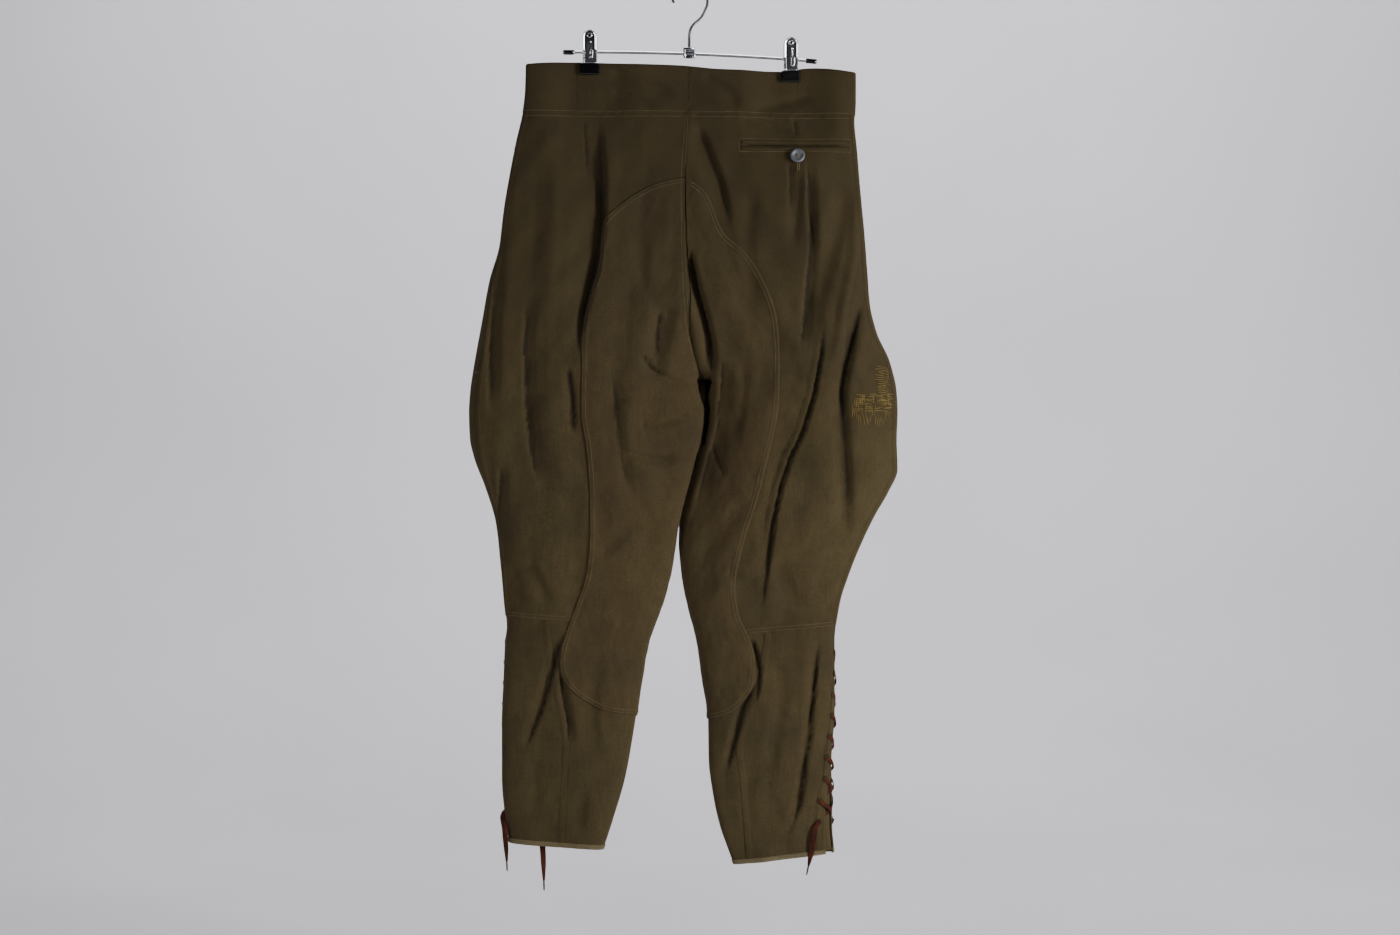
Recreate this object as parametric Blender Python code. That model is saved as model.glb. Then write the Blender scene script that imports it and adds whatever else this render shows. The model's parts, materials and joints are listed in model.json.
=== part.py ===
"""Laced riding breeches of khaki cloth, hanging back-side out from a wire clip hanger.

Metres, +Z up, +X to the wearer's right, +Y to the wearer's front. The origin is the inside of the
top of the hanger's hook, where it hangs on a rail. Tables are in millimetres, and every height in
them is a drop: a distance below the origin.

Each leg is one smooth surface, worked out level by level: a path that starts at the back seam, goes
over the back, round the outer edge and over the front, to the front seam. Every cut piece of cloth
is a stretch of that surface, given a wall inwards. What is sewn on top is made from the same
points, moved out.
"""

import math
from collections import namedtuple

import bmesh
import bpy
import numpy as np
from mathutils import Vector

# Driving sizes of the cloth, in millimetres

MM = 0.001
GAP = 0.3  # between pieces that touch
CLOTH = 1.5  # wall of a cut panel
BAND = 2.4  # wall of the waistband, which is several layers
PATCH = 1.0  # wall of the leg patch and of the sewn-on strips
WAIST_TOP = 107.0
WAIST_SEAM = 165.0
FORK = 505.0  # where the four seams of the crotch meet
FORK_Y = 8.0
TAPE_HEIGHT = 6.0
TAPE_WALL = 2.2
TONGUE_LAP = 6.0  # how far the tongue goes under each edge of the slit
BACK_SHARE = 1.1  # the back is fuller than the front
FRONT_SHARE = 0.9

# The legs, one row for each height

Row = namedtuple("Row", "drop outer inner depth nose")

LEFT_ROWS = [
    Row(*row)
    for row in (
        # drop, outer edge x, inner edge x, half depth, inner edge y
        (107, -193, -1, 9, 0),
        (140, -194, -1, 10, 0),
        (165, -197, -1, 12, 0),
        (200, -205, -3, 15, 0),
        (270, -218, -5, 20, 0),
        (320, -225, -4, 24, 0),
        (362, -237, -3, 27, 0),
        (406, -245, -1, 29, 0),
        (467, -256, 11, 30, 0),
        (487, -259, 9, 30, -5),
        (515, -261, 15, 30, -9),
        (545, -260, 12, 30, -10),
        (572, -254, 5, 29, -10),
        (603, -242, -3, 29, -10),
        (647, -229, -14, 28, -8),
        (700, -223, -22, 27, -3),
        (739, -219, -32, 25, 0),
        (769, -216, -43, 24, 0),
        (786, -218, -49, 23, 0),
        (830, -220, -57, 20, 0),
        (883, -222, -65, 17, 0),
        (945, -222, -76, 15, 0),
        (1000, -217, -92, 13, 0),
        (1040, -210, -105, 12, 0),
    )
]

RIGHT_ROWS = [
    Row(*row)
    for row in (
        # drop, outer edge x, inner edge x, half depth, inner edge y
        (107, 195, -1, 9, 0),
        (146, 195, -1, 11, 0),
        (171, 194, -1, 13, 0),
        (206, 197, -3, 16, 0),
        (256, 201, -5, 20, 0),
        (307, 206, -5, 23, 0),
        (359, 210, -3, 26, 0),
        (386, 212, -2, 28, 0),
        (421, 220, 0, 29, 0),
        (457, 236, 8, 30, 1),
        (493, 244, 20, 30, 4),
        (515, 245, 17, 30, 9),
        (549, 244, 10, 30, 10),
        (583, 245, 1, 30, 10),
        (610, 234, -6, 29, 10),
        (638, 218, -11, 28, 8),
        (669, 203, -12, 27, 4),
        (706, 188, -9, 26, 1),
        (743, 176, -2, 24, 0),
        (786, 170, 9, 21, 0),
        (830, 170, 15, 19, 0),
        (869, 170, 21, 17, 0),
        (926, 167, 22, 15, 0),
        (966, 167, 27, 14, 0),
        (1003, 167, 35, 13, 0),
        (1029, 169, 44, 12, 0),
        (1055, 170, 54, 12, 0),
    )
]

# The seam down the middle of the back and of the front, above the fork: drop, x
CENTRE = [(107, -1), (165, -1), (250, -5), (330, -4), (380, -2), (419, 0), (450, 6), (478, 13), (505, 16)]

# How boxy the section is at its edges: drop, power of the superellipse
BOXINESS = [(107, 3.0), (250, 2.6), (400, 2.2), (700, 2.2), (800, 2.8), (1055, 3.2)]

# The waistband's top edge is wavy, and dips to the wearer's right: x, drop
WAIST_EDGE = [(-195, 105), (-131, 103), (-60, 106), (-11, 108), (35, 112), (106, 114), (142, 110), (195, 115)]

# How the cloth's level lines tilt: drop, slope
TILTS = {
    "left": [(165, 0.010), (260, 0.0), (650, 0.0), (762, 0.07), (1055, 0.075)],
    "right": [(165, 0.010), (260, 0.0), (650, 0.0), (774, -0.08), (1055, -0.117)],
}
TILT_CENTRE_FROM = 450  # below this a leg tilts about its own middle

# Where the side seam lies, as a distance round the outer edge towards the back: drop, distance
SIDE_SEAM = {
    "left": [(165, 2), (290, 3), (400, 14), (540, 16), (640, 6), (762, 4)],
    "right": [(165, 3), (300, 5), (460, 7), (600, 7), (774, 4)],
}

# The seam down the back of the calf: drop, x
CALF_SEAM = {
    "left": [(762, -163), (808, -159), (840, -152), (873, -145), (901, -141), (958, -144), (1040, -148)],
    "right": [(774, 87), (812, 82), (840, 77), (875, 62), (907, 54), (942, 58), (976, 61), (1055, 67)],
}

# The lacing slit's two edges, as distances round the outer edge, towards the front when positive
SLIT_BACK = {
    "left": [(762, 14), (880, 15), (1040, 18)],
    "right": [(774, 4), (829, 3), (856, 0), (907, -3), (953, -7), (976, -13), (1055, -16)],
}
SLIT_FRONT = {
    "left": [(762, 20), (880, 22), (1040, 28)],
    "right": [(774, 10), (829, 9), (856, 7), (907, 5), (953, 2), (976, -3), (1055, -5)],
}

KNEE = {"left": 762.0, "right": 774.0}
HEM = {"left": 1027.0, "right": 1042.0}
SIGN = {"left": -1, "right": 1}
ROWS = {"left": LEFT_ROWS, "right": RIGHT_ROWS}
TORSO_LEVELS = [196, 230, 264, 298, 332, 366, 398, 426, 450, 470, 488, 505, 524, 548]

# The patch's edge, seen from behind: x, drop. The row of points runs from the top to the bottom.
PATCH_BACK = {
    "left": [
        (-38, 248), (-60, 258), (-81, 273), (-102, 295), (-106, 349), (-119, 385), (-126, 445),
        (-127, 520), (-121, 555), (-117, 620), (-117, 667), (-120, 702), (-136, 749), (-149, 787),
        (-153, 808), (-149, 826), (-138, 843), (-118, 858), (-92, 868), (-60, 872),
    ],
    "right": [
        (15, 254), (24, 269), (41, 309), (58, 322), (73, 339), (86, 362), (96, 385), (103, 413),
        (105, 460), (104, 507), (96, 551), (88, 584), (78, 623), (67, 656), (59, 687), (53, 717),
        (57, 752), (67, 774), (73, 789), (77, 812), (73, 840), (64, 853), (51, 867), (35, 874), (16, 878),
    ],
}
PATCH_FRONT_TOP = 556.0
PATCH_FRONT_WIDTH = [(556, 14), (566, 44), (590, 66), (640, 70), (740, 62), (810, 56), (845, 44), (866, 20)]
CROTCH_LEVELS = (460, 546)  # the patch leaves its innermost cells out here, where it turns into the fork
CROTCH_CELLS = 2
PATCH_TURN_Y = {"left": 1.5, "right": 12.0}  # the patch's back outline holds up to here, its front one beyond

# Columns of a panel end on a guide line, so that what is sewn on shares its points: drop, x
BACK_GUIDE = {
    "left": [(165, -112), (300, -112), (445, -133), (560, -130), (670, -124), (702, -128), (762, -163)],
    "right": [(165, 112), (400, 112), (500, 111), (584, 98), (656, 77), (717, 63), (774, 87)],
}
FRONT_GUIDE = [(165, 38), (420, 38), (520, 76), (762, 72), (1055, 60)]  # distance from the front seam

# The largest folds: a path of (x, drop) points, half the width, and the depth, negative for a ridge

Fold = namedtuple("Fold", "width depth path")

BACK_FOLDS = {
    "left": [
        Fold(15, 9, ((-109, 178), (-105, 242), (-106, 301), (-114, 354), (-127, 405), (-133, 450))),
        Fold(26, 4, ((-128, 190), (-124, 280), (-132, 360))),
        Fold(24, 5, ((-178, 195), (-182, 277), (-188, 384), (-189, 500), (-181, 572), (-163, 650))),
        Fold(11, 5, ((-224, 330), (-229, 395), (-231, 443), (-228, 520))),
        Fold(10, 5, ((-221, 575), (-223, 625), (-225, 660))),
        Fold(12, -3, ((-241, 360), (-246, 440), (-247, 510), (-242, 560))),
        Fold(16, 6, ((-30, 400), (-38, 440), (-42, 480))),
        Fold(14, 5, ((-18, 440), (-12, 470), (-34, 500))),
        Fold(14, 4, ((-70, 560), (-44, 568), (-20, 566))),
        Fold(26, -4, ((-74, 500), (-72, 545), (-60, 580))),
        Fold(20, 4, ((-160, 780), (-170, 850), (-188, 900))),
        Fold(12, 5, ((-151, 825), (-147, 860), (-141, 900))),
    ],
    "right": [
        Fold(14, 7, ((138, 225), (141, 265), (142, 321), (138, 363), (134, 407), (131, 445))),
        Fold(18, 5, ((186, 245), (177, 283), (160, 339), (146, 389), (139, 437))),
        Fold(11, 6, ((14, 180), (22, 216), (35, 247), (42, 285))),
        Fold(11, 8, ((2, 335), (8, 372), (17, 405), (25, 437), (28, 474))),
        Fold(20, 5, ((120, 430), (114, 480), (100, 530), (88, 575))),
        Fold(12, 5, ((155, 420), (146, 494), (132, 545), (116, 580), (100, 640), (91, 700))),
        Fold(15, 11, ((197, 400), (190, 425), (180, 470), (176, 497), (178, 540), (182, 600), (183, 670))),
        Fold(13, -4, ((200, 270), (192, 336), (172, 400), (166, 450))),
        Fold(22, 5, ((53, 440), (47, 500), (44, 550), (26, 600), (8, 650))),
        Fold(18, 3, ((66, 618), (32, 665), (12, 692))),
        Fold(12, 5, ((75, 840), (62, 862), (57, 883), (48, 920))),
        Fold(13, 6, ((150, 790), (148, 830), (144, 870), (139, 905), (132, 945), (127, 985), (116, 1012))),
    ],
}

FRONT_FOLDS = {
    "left": [
        Fold(24, 6, ((-96, 190), (-104, 300), (-118, 420), (-120, 520))),
        Fold(18, 6, ((-176, 300), (-196, 400), (-204, 500), (-190, 600), (-170, 690))),
        Fold(16, 6, ((-20, 430), (-48, 480), (-84, 540))),
        Fold(20, 4, ((-40, 600), (-90, 640), (-130, 700))),
        Fold(16, 4, ((-120, 790), (-136, 850), (-150, 930))),
    ],
    "right": [
        Fold(22, 6, ((92, 200), (104, 310), (110, 430), (98, 540))),
        Fold(18, 7, ((170, 290), (186, 380), (194, 480), (176, 580), (150, 680))),
        Fold(16, 6, ((36, 420), (60, 470), (88, 520))),
        Fold(20, 4, ((30, 600), (70, 650), (110, 720))),
        Fold(16, 4, ((70, 800), (84, 860), (96, 950))),
    ],
}

# The hanger, in millimetres

ROD_LENGTH = 272.0
ROD_DIAMETER = 3.5
ROD_DROP = 93.2
ROD_SLOPE = 0.0366
ROD_BOW = 0.00015  # the clips pull its ends down
CLIP_X = {"left": -118.0, "right": 119.0}
CLIP_TOP = 25.0  # above the rod
CLIP_END = 14.0  # below the rod
GRIP_WIDTH = 22.6
GRIP_HEIGHT = 13.4
LEAF_WIDTH = 16.5
LEAF_WALL = 1.2
PINCH_FLAT = 17.0  # half width of the flat under a clip
PINCH_RUN = 46.0
PINCH_END = 132.0  # drop at which the pinch starts to open
HOOK_WIRE = 3.5
HOOK_RADIUS = 22.4

# Materials

def linear(channel):
    value = channel / 255
    return value / 12.92 if value <= 0.04045 else ((value + 0.055) / 1.055) ** 2.4


def new_material(name, colour, roughness, metallic=0.0):
    made = bpy.data.materials.new(name)
    made.use_nodes = True
    shader = made.node_tree.nodes["Principled BSDF"]
    shader.inputs["Base Color"].default_value = (*[linear(channel) for channel in colour], 1.0)
    shader.inputs["Roughness"].default_value = roughness
    shader.inputs["Metallic"].default_value = metallic
    return made


KHAKI = ((66, 56, 38), 0.9)
KHAKI_PATCH = ((62, 52, 34), 0.9)
KHAKI_TAPE = ((112, 98, 70), 0.9)
LACE_BROWN = ((88, 44, 34), 0.8)
BUTTON_GREY = ((128, 132, 138), 0.45, 0.2)
CHROME = ((200, 202, 205), 0.12, 1.0)
BLACK_VINYL = ((14, 14, 15), 0.3)

# Curves through tables

def curve(table, at):
    """The height at which a smooth line through the table's (place, value) rows crosses `at`.

    The slopes are monotone, so the line never swings past a row.
    """
    places = np.array([row[0] for row in table], float)
    values = np.array([row[1] for row in table], float)
    steps = np.diff(places)
    rises = np.diff(values) / steps
    slopes = np.zeros(len(places))
    slopes[0], slopes[-1] = rises[0], rises[-1]
    same_way = rises[:-1] * rises[1:] > 0
    before, after = 2 * steps[1:] + steps[:-1], steps[1:] + 2 * steps[:-1]
    with np.errstate(divide="ignore", invalid="ignore"):
        mixed = (before + after) / (before / rises[:-1] + after / rises[1:])
    slopes[1:-1] = np.where(same_way, mixed, 0.0)
    at = np.clip(at, places[0], places[-1])
    index = np.clip(np.searchsorted(places, at, side="right") - 1, 0, len(steps) - 1)
    step = steps[index]
    t = (at - places[index]) / step
    return (
        values[index] * (1 + 2 * t) * (1 - t) ** 2
        + slopes[index] * step * t * (1 - t) ** 2
        + values[index + 1] * t**2 * (3 - 2 * t)
        + slopes[index + 1] * step * t**2 * (t - 1)
    )


def ease(t):
    t = np.clip(t, 0.0, 1.0)
    return t * t * (3 - 2 * t)


def column(rows, name):
    return [(row.drop, getattr(row, name)) for row in rows]


OUTER = {leg: column(ROWS[leg], "outer") for leg in ROWS}
INNER = {leg: column(ROWS[leg], "inner") for leg in ROWS}
DEPTH = {leg: column(ROWS[leg], "depth") for leg in ROWS}
NOSE = {leg: column(ROWS[leg], "nose") for leg in ROWS}

# The surface of a leg

STEPS = 97
LEAD_STEPS = 13
SEAM_ROOM = 1.6  # the patch turns into the back seam here, so the panels stand back from it
FORK_ROOM = 1.2
SIDE_GAP = GAP + 0.2  # the side seam lies where the cloth turns sharply
DIVE_FROM, DIVE_TO = 330.0, 470.0  # the back seam sinks between the legs
FRONT_DIVE_FROM = 395.0


def middle(leg, level):
    return (curve(OUTER[leg], level) + curve(INNER[leg], level)) / 2


def drop_at(leg, level, x):
    """The drop of the point at x on a level line, which tilts, and is wavy along the waist."""
    about = 0.0 if level < TILT_CENTRE_FROM else middle(leg, level)
    plain = level + curve(TILTS[leg], level) * (x - about)
    if level >= WAIST_SEAM:
        return plain
    share = (level - WAIST_TOP) / (WAIST_SEAM - WAIST_TOP)
    edge = curve(WAIST_EDGE, x)
    seam = WAIST_SEAM + curve(TILTS[leg], WAIST_SEAM) * x
    return edge + (seam - edge) * share


def pinch(level, x):
    """How far the two layers close under the clips, from 1, open, down to the clip's grip."""
    closed = np.zeros(np.shape(x))
    for clip in CLIP_X.values():
        aside = np.abs(x - clip)
        closed = np.maximum(closed, 1 - ease((aside - PINCH_FLAT) / PINCH_RUN))
    return closed * (1 - ease((level - PINCH_END) / 100.0))


def seam_depths(leg, level):
    """y of the back and front seams at this level, and how far the panels stand off the middle."""
    depth = curve(DEPTH[leg], level)
    back, front = -depth * BACK_SHARE, depth * FRONT_SHARE
    if level < FORK:
        dive = np.clip((level - DIVE_FROM) / (DIVE_TO - DIVE_FROM), 0, 1)
        back *= (1 - dive**2.2) ** (1 / 1.6)
        back += FORK_Y * ease((level - DIVE_TO) / (FORK - DIVE_TO))
        rise = np.clip((level - FRONT_DIVE_FROM) / (FORK - FRONT_DIVE_FROM), 0, 1)
        front += (FORK_Y - front) * (1 - (1 - rise**2.2) ** (1 / 1.6))
        return back, front
    nose = curve(NOSE[leg], level)
    join = FORK_Y + (nose - FORK_Y) * ease((level - FORK) / 40.0)
    return join, join


class Section:
    """The path round one leg at one level, measured from its outer edge: back is negative."""

    def __init__(self, leg, level):
        sign = SIGN[leg]
        depth = curve(DEPTH[leg], level)
        half = abs(curve(OUTER[leg], level) - curve(INNER[leg], level)) / 2
        tilt = curve(TILTS[leg], level) if level >= TILT_CENTRE_FROM else 0.0
        outer = curve(OUTER[leg], level + sign * tilt * half)
        inner = curve(INNER[leg], level - sign * tilt * half)
        back_seam, front_seam = seam_depths(leg, level)
        stand_off = GAP / 2 + SEAM_ROOM * ease((level - 345) / 40.0)
        centre = curve(CENTRE, level)
        if level < FORK:
            back_x = centre + sign * stand_off
            front_x = centre + sign * GAP / 2
            nose_x = inner + sign * stand_off
            if level < DIVE_TO:
                nose_x = back_x
            nose_y = back_seam if level < DIVE_TO else curve(NOSE[leg], level)
        else:
            share = ease((level - FORK) / 40.0)
            back_x = (centre + sign * stand_off) * (1 - share) + inner * share
            front_x = back_x
            nose_x, nose_y = inner, curve(NOSE[leg], level)
        power = curve(BOXINESS, level)
        across = -np.cos(np.linspace(0, math.pi, STEPS))
        swell = np.maximum(1 - np.abs(across) ** power, 0) ** (1 / power)
        full_back, full_front = -depth * BACK_SHARE, depth * FRONT_SHARE
        x_back = (nose_x + outer) / 2 + (outer - nose_x) / 2 * across
        y_back = np.where(across < 0, nose_y + (full_back - nose_y) * swell, full_back * swell)
        x_front = (front_x + outer) / 2 + (outer - front_x) / 2 * across[::-1]
        y_front = np.where(
            across[::-1] < 0, front_seam + (full_front - front_seam) * swell[::-1], full_front * swell[::-1]
        )
        turn = np.linspace(0, math.pi / 2, LEAD_STEPS)
        x_lead = back_x + (nose_x - back_x) * np.sin(turn)
        y_lead = nose_y + (back_seam - nose_y) * np.cos(turn)
        lead = LEAD_STEPS - 1 if math.hypot(nose_x - back_x, nose_y - back_seam) > 0.5 else 0
        self.leg, self.level, self.sign = leg, level, sign
        self.x = np.concatenate([x_lead[:lead], x_back, x_front[1:]])
        y = np.concatenate([y_lead[:lead], y_back, y_front[1:]])
        tip = lead + STEPS - 1
        gaps = np.hypot(np.diff(self.x), np.diff(y))
        self.arc = np.concatenate([[0], np.cumsum(gaps)])
        self.arc -= self.arc[tip]
        heading = np.unwrap(np.arctan2(np.diff(y), np.diff(self.x)))
        turned = np.concatenate([[0], np.abs(np.diff(heading)), [0]])
        self.measure = self.arc + 14.0 * np.cumsum(turned)
        self.tip, self.lead = tip, lead
        is_back = np.arange(len(y)) < tip
        full = np.where(is_back, full_back, full_front)
        self.weight = np.clip(np.where(full * y > 0, y / full, 0) * 1.3 - 0.1, 0, 1)
        closed = pinch(level, self.x)
        least = np.sign(y) * (BAND + GAP / 2)
        self.y = np.where(np.abs(y) > BAND, y * (1 - closed) + least * closed, y)

    @property
    def start(self):
        return self.arc[0]

    @property
    def end(self):
        return self.arc[-1]

    def arc_at_x(self, x, front=False):
        """The distance round to the point over x, on the back or on the front."""
        stretch = slice(self.tip, None) if front else slice(self.lead, self.tip + 1)
        places, arcs = self.x[stretch] * self.sign, self.arc[stretch]
        if front:
            places, arcs = places[::-1], arcs[::-1]
        return float(np.interp(x * self.sign, places, arcs))

    def point(self, arc):
        """Points on the folded surface at these distances, in millimetres."""
        x = np.interp(arc, self.arc, self.x)
        y = np.interp(arc, self.arc, self.y)
        weight = np.interp(arc, self.arc, self.weight)
        drop = drop_at(self.leg, self.level, x)
        back = push(BACK_FOLDS[self.leg], x, drop)
        front = -push(FRONT_FOLDS[self.leg], x, drop)
        y = y + np.where(arc < 0, back, front) * weight
        return np.stack([x, y, -drop], axis=-1)

    def spread(self, first, last, count):
        """`count` steps from one distance to another, closer together where the path bends."""
        low, high = np.interp([first, last], self.arc, self.measure)
        arcs = np.interp(np.linspace(low, high, count + 1), self.measure, self.arc)
        arcs[0], arcs[-1] = first, last
        return arcs


def push(folds, x, drop):
    """How far the folds press the cloth in at these points."""
    total = np.zeros(np.shape(x))
    for fold in folds:
        path = np.array(fold.path, float)
        lengths = np.hypot(*np.diff(path, axis=0).T)
        run = np.concatenate([[0], np.cumsum(lengths)])
        nearest = np.full(np.shape(x), np.inf)
        along = np.zeros(np.shape(x))
        for (x0, d0), (x1, d1), length, before in zip(path[:-1], path[1:], lengths, run):
            t = np.clip(((x - x0) * (x1 - x0) + (drop - d0) * (d1 - d0)) / length**2, 0, 1)
            away = np.hypot(x - x0 - t * (x1 - x0), drop - d0 - t * (d1 - d0))
            along = np.where(away < nearest, before + t * length, along)
            nearest = np.minimum(nearest, away)
        share = along / run[-1]
        fade = ease(share / 0.2 + 0.25) * ease((1 - share) / 0.3 + 0.25)
        bell = 0.5 + 0.5 * np.cos(math.pi * np.clip(nearest / (1.5 * fold.width), 0, 1))
        total += fold.depth * fade * bell
    return total


NUDGE = 1.0


def surface_row(leg, level, arcs_of):
    """One row of points on the surface with their outward directions.

    arcs_of(section) gives the distances round the path at which the row has its points.
    """
    here = Section(leg, level)
    above, below = Section(leg, level - NUDGE), Section(leg, level + NUDGE)
    arcs = np.asarray(arcs_of(here), float)

    def scaled(other):
        return np.where(arcs < 0, arcs * other.start / here.start, arcs * other.end / here.end)

    points = here.point(arcs)
    along = here.point(np.minimum(arcs + NUDGE, here.end)) - here.point(np.maximum(arcs - NUDGE, here.start))
    down = below.point(scaled(below)) - above.point(scaled(above))
    outward = -here.sign * np.cross(along, down)
    outward /= np.linalg.norm(outward, axis=1, keepdims=True)
    return points, outward


# Turning rows of points into solids

def grid_triangles(rows, columns, first=0):
    found = []
    for i in range(rows - 1):
        for j in range(columns - 1):
            a = first + i * columns + j
            b, c, d = a + columns, a + columns + 1, a + 1
            found += [(a, b, c), (a, c, d)]
    return found


def new_object(name, mesh, material):
    made = bpy.data.objects.new(name, mesh)
    made.data.materials.append(material)
    bpy.context.scene.collection.objects.link(made)
    return made


def thicken(name, points, outward, triangles, outer, inner, material):
    """A wall between the surface moved out by `outer` and by `inner`, closed along its edges."""
    points, outward = np.asarray(points), np.asarray(outward)
    edges = {}
    for triangle in triangles:
        for a, b in zip(triangle, triangle[1:] + triangle[:1]):
            edges[frozenset((a, b))] = None if frozenset((a, b)) in edges else (a, b)
    mesh = bmesh.new()
    outside = [mesh.verts.new(point) for point in (points + outward * outer) * MM]
    inside = [mesh.verts.new(point) for point in (points + outward * inner) * MM]
    for a, b, c in triangles:
        mesh.faces.new((outside[a], outside[b], outside[c]))
        mesh.faces.new((inside[c], inside[b], inside[a]))
    for edge in edges.values():
        if edge:
            a, b = edge
            mesh.faces.new((outside[b], outside[a], inside[a]))
            mesh.faces.new((outside[b], inside[a], inside[b]))
    loose = [vert for vert in mesh.verts if not vert.link_faces]
    bmesh.ops.delete(mesh, geom=loose, context="VERTS")
    bmesh.ops.recalc_face_normals(mesh, faces=mesh.faces)
    data = bpy.data.meshes.new(name)
    mesh.to_mesh(data)
    mesh.free()
    data.shade_smooth()
    data.set_sharp_from_angle(angle=math.radians(50))
    return new_object(name, data, material)


def panel(name, leg, levels, arcs_of, colour, outer=0.0, inner=-CLOTH):
    rows = [surface_row(leg, level, arcs_of) for level in levels]
    points = np.concatenate([row[0] for row in rows])
    outward = np.concatenate([row[1] for row in rows])
    triangles = grid_triangles(len(rows), len(rows[0][0]))
    return thicken(name, points, outward, triangles, outer, inner, new_material(name, *colour))


def levels_between(first, last, rough_step):
    return list(np.linspace(first, last, max(2, round((last - first) / rough_step) + 1)))


# The cut pieces

INNER_COLUMNS = 7
OUTER_COLUMNS = 8
FRONT_INNER = 5
FRONT_OUTER = 7
BAND_COLUMNS = 12
TAPE_COLUMNS = 12
LEVEL_STEP = 33


def upper_levels(leg):
    return [WAIST_SEAM + GAP / 2, *TORSO_LEVELS, *levels_between(579, KNEE[leg] - GAP / 2, LEVEL_STEP)]


def calf_levels(leg):
    return levels_between(KNEE[leg] + GAP / 2, HEM[leg] - TAPE_HEIGHT - GAP, LEVEL_STEP)


def guide_arc(section):
    return section.arc_at_x(curve(BACK_GUIDE[section.leg], section.level))


def front_guide_arc(section):
    seam = section.x[-1]
    return section.arc_at_x(seam + section.sign * curve(FRONT_GUIDE, section.level), front=True)


def side_arc(section):
    return -curve(SIDE_SEAM[section.leg], section.level)


def seam_gap(level):
    """Half the gap along the inside leg seam, which is wider where four seams meet at the fork."""
    if level < FORK - 40:
        return 0.0
    return GAP / 2 + FORK_ROOM * (1 - ease((abs(level - FORK) - 20) / 40))


def back_arcs(section):
    inner = section.spread(section.start, guide_arc(section), INNER_COLUMNS)
    inner[0] += seam_gap(section.level)
    outer = section.spread(guide_arc(section), side_arc(section) - SIDE_GAP / 2, OUTER_COLUMNS)
    return np.concatenate([inner, outer[1:]])


def front_arcs(section):
    outer = section.spread(side_arc(section) + SIDE_GAP / 2, front_guide_arc(section), FRONT_OUTER)
    inner = section.spread(front_guide_arc(section), section.end, FRONT_INNER)
    inner[-1] -= seam_gap(section.level)
    return np.concatenate([outer, inner[1:]])


def calf_seam_arc(section):
    return section.arc_at_x(curve(CALF_SEAM[section.leg], section.level))


def calf_outer_arcs(section):
    last = curve(SLIT_BACK[section.leg], section.level)
    return section.spread(calf_seam_arc(section) + GAP / 2, last, OUTER_COLUMNS)


def calf_inner_rows(leg, level):
    """The inner calf goes from the slit over the front, round the inner edge, to the back seam."""

    def front(section):
        outer = section.spread(curve(SLIT_FRONT[leg], level), front_guide_arc(section), FRONT_OUTER)
        inner = section.spread(front_guide_arc(section), section.end, FRONT_INNER)
        return np.concatenate([outer, inner[1:]])

    def back(section):
        return section.spread(section.start, calf_seam_arc(section) - GAP / 2, INNER_COLUMNS)[1:]

    parts = surface_row(leg, level, front), surface_row(leg, level, back)
    return [np.concatenate(pair) for pair in zip(*parts)]


def make_upper(leg):
    levels = upper_levels(leg)
    panel(f"back_{leg}", leg, levels, back_arcs, KHAKI)
    panel(f"front_{leg}", leg, levels, front_arcs, KHAKI)


def make_calf(leg):
    levels = calf_levels(leg)
    panel(f"calf_outer_{leg}", leg, levels, calf_outer_arcs, KHAKI)
    rows = [calf_inner_rows(leg, level) for level in levels]
    points = np.concatenate([row[0] for row in rows])
    outward = np.concatenate([row[1] for row in rows])
    triangles = grid_triangles(len(rows), len(rows[0][0]))
    name = f"calf_inner_{leg}"
    thicken(name, points, outward, triangles, 0.0, -CLOTH, new_material(name, *KHAKI))


def make_tongue(leg):
    """The underlap behind the lacing, inside both edges of the slit."""

    def arcs(section):
        first = curve(SLIT_BACK[leg], section.level) - TONGUE_LAP
        last = curve(SLIT_FRONT[leg], section.level) + TONGUE_LAP
        return section.spread(first, last, 7)

    lift = -CLOTH - 3 * GAP
    panel(f"tongue_{leg}", leg, calf_levels(leg), arcs, KHAKI, outer=lift, inner=lift - PATCH)


def make_hem_tape(leg):
    """A band that binds the hem, open at the slit."""
    levels = [HEM[leg] - TAPE_HEIGHT, HEM[leg]]
    rows = []
    for level in levels:
        def front(section):
            return section.spread(curve(SLIT_FRONT[leg], section.level), section.end, TAPE_COLUMNS)

        def back(section):
            return section.spread(section.start, curve(SLIT_BACK[leg], section.level), TAPE_COLUMNS)[1:]

        parts = surface_row(leg, level, front), surface_row(leg, level, back)
        rows.append([np.concatenate(pair) for pair in zip(*parts)])
    points = np.concatenate([row[0] for row in rows])
    outward = np.concatenate([row[1] for row in rows])
    triangles = grid_triangles(2, len(rows[0][0]))
    name = f"hem_tape_{leg}"
    outer = (TAPE_WALL - CLOTH) / 2
    thicken(name, points, outward, triangles, outer, outer - TAPE_WALL, new_material(name, *KHAKI_TAPE))


def make_waistband(leg):
    def back(section):
        return section.spread(section.start, side_arc(section) - GAP / 2, BAND_COLUMNS)

    def front(section):
        return section.spread(side_arc(section) + GAP / 2, section.end, BAND_COLUMNS)

    levels = [WAIST_TOP, 124, 145, WAIST_SEAM - GAP / 2]
    panel(f"waistband_back_{leg}", leg, levels, back, KHAKI, inner=-BAND)
    panel(f"waistband_front_{leg}", leg, levels, front, KHAKI, inner=-BAND)


# What is sewn on top

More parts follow.
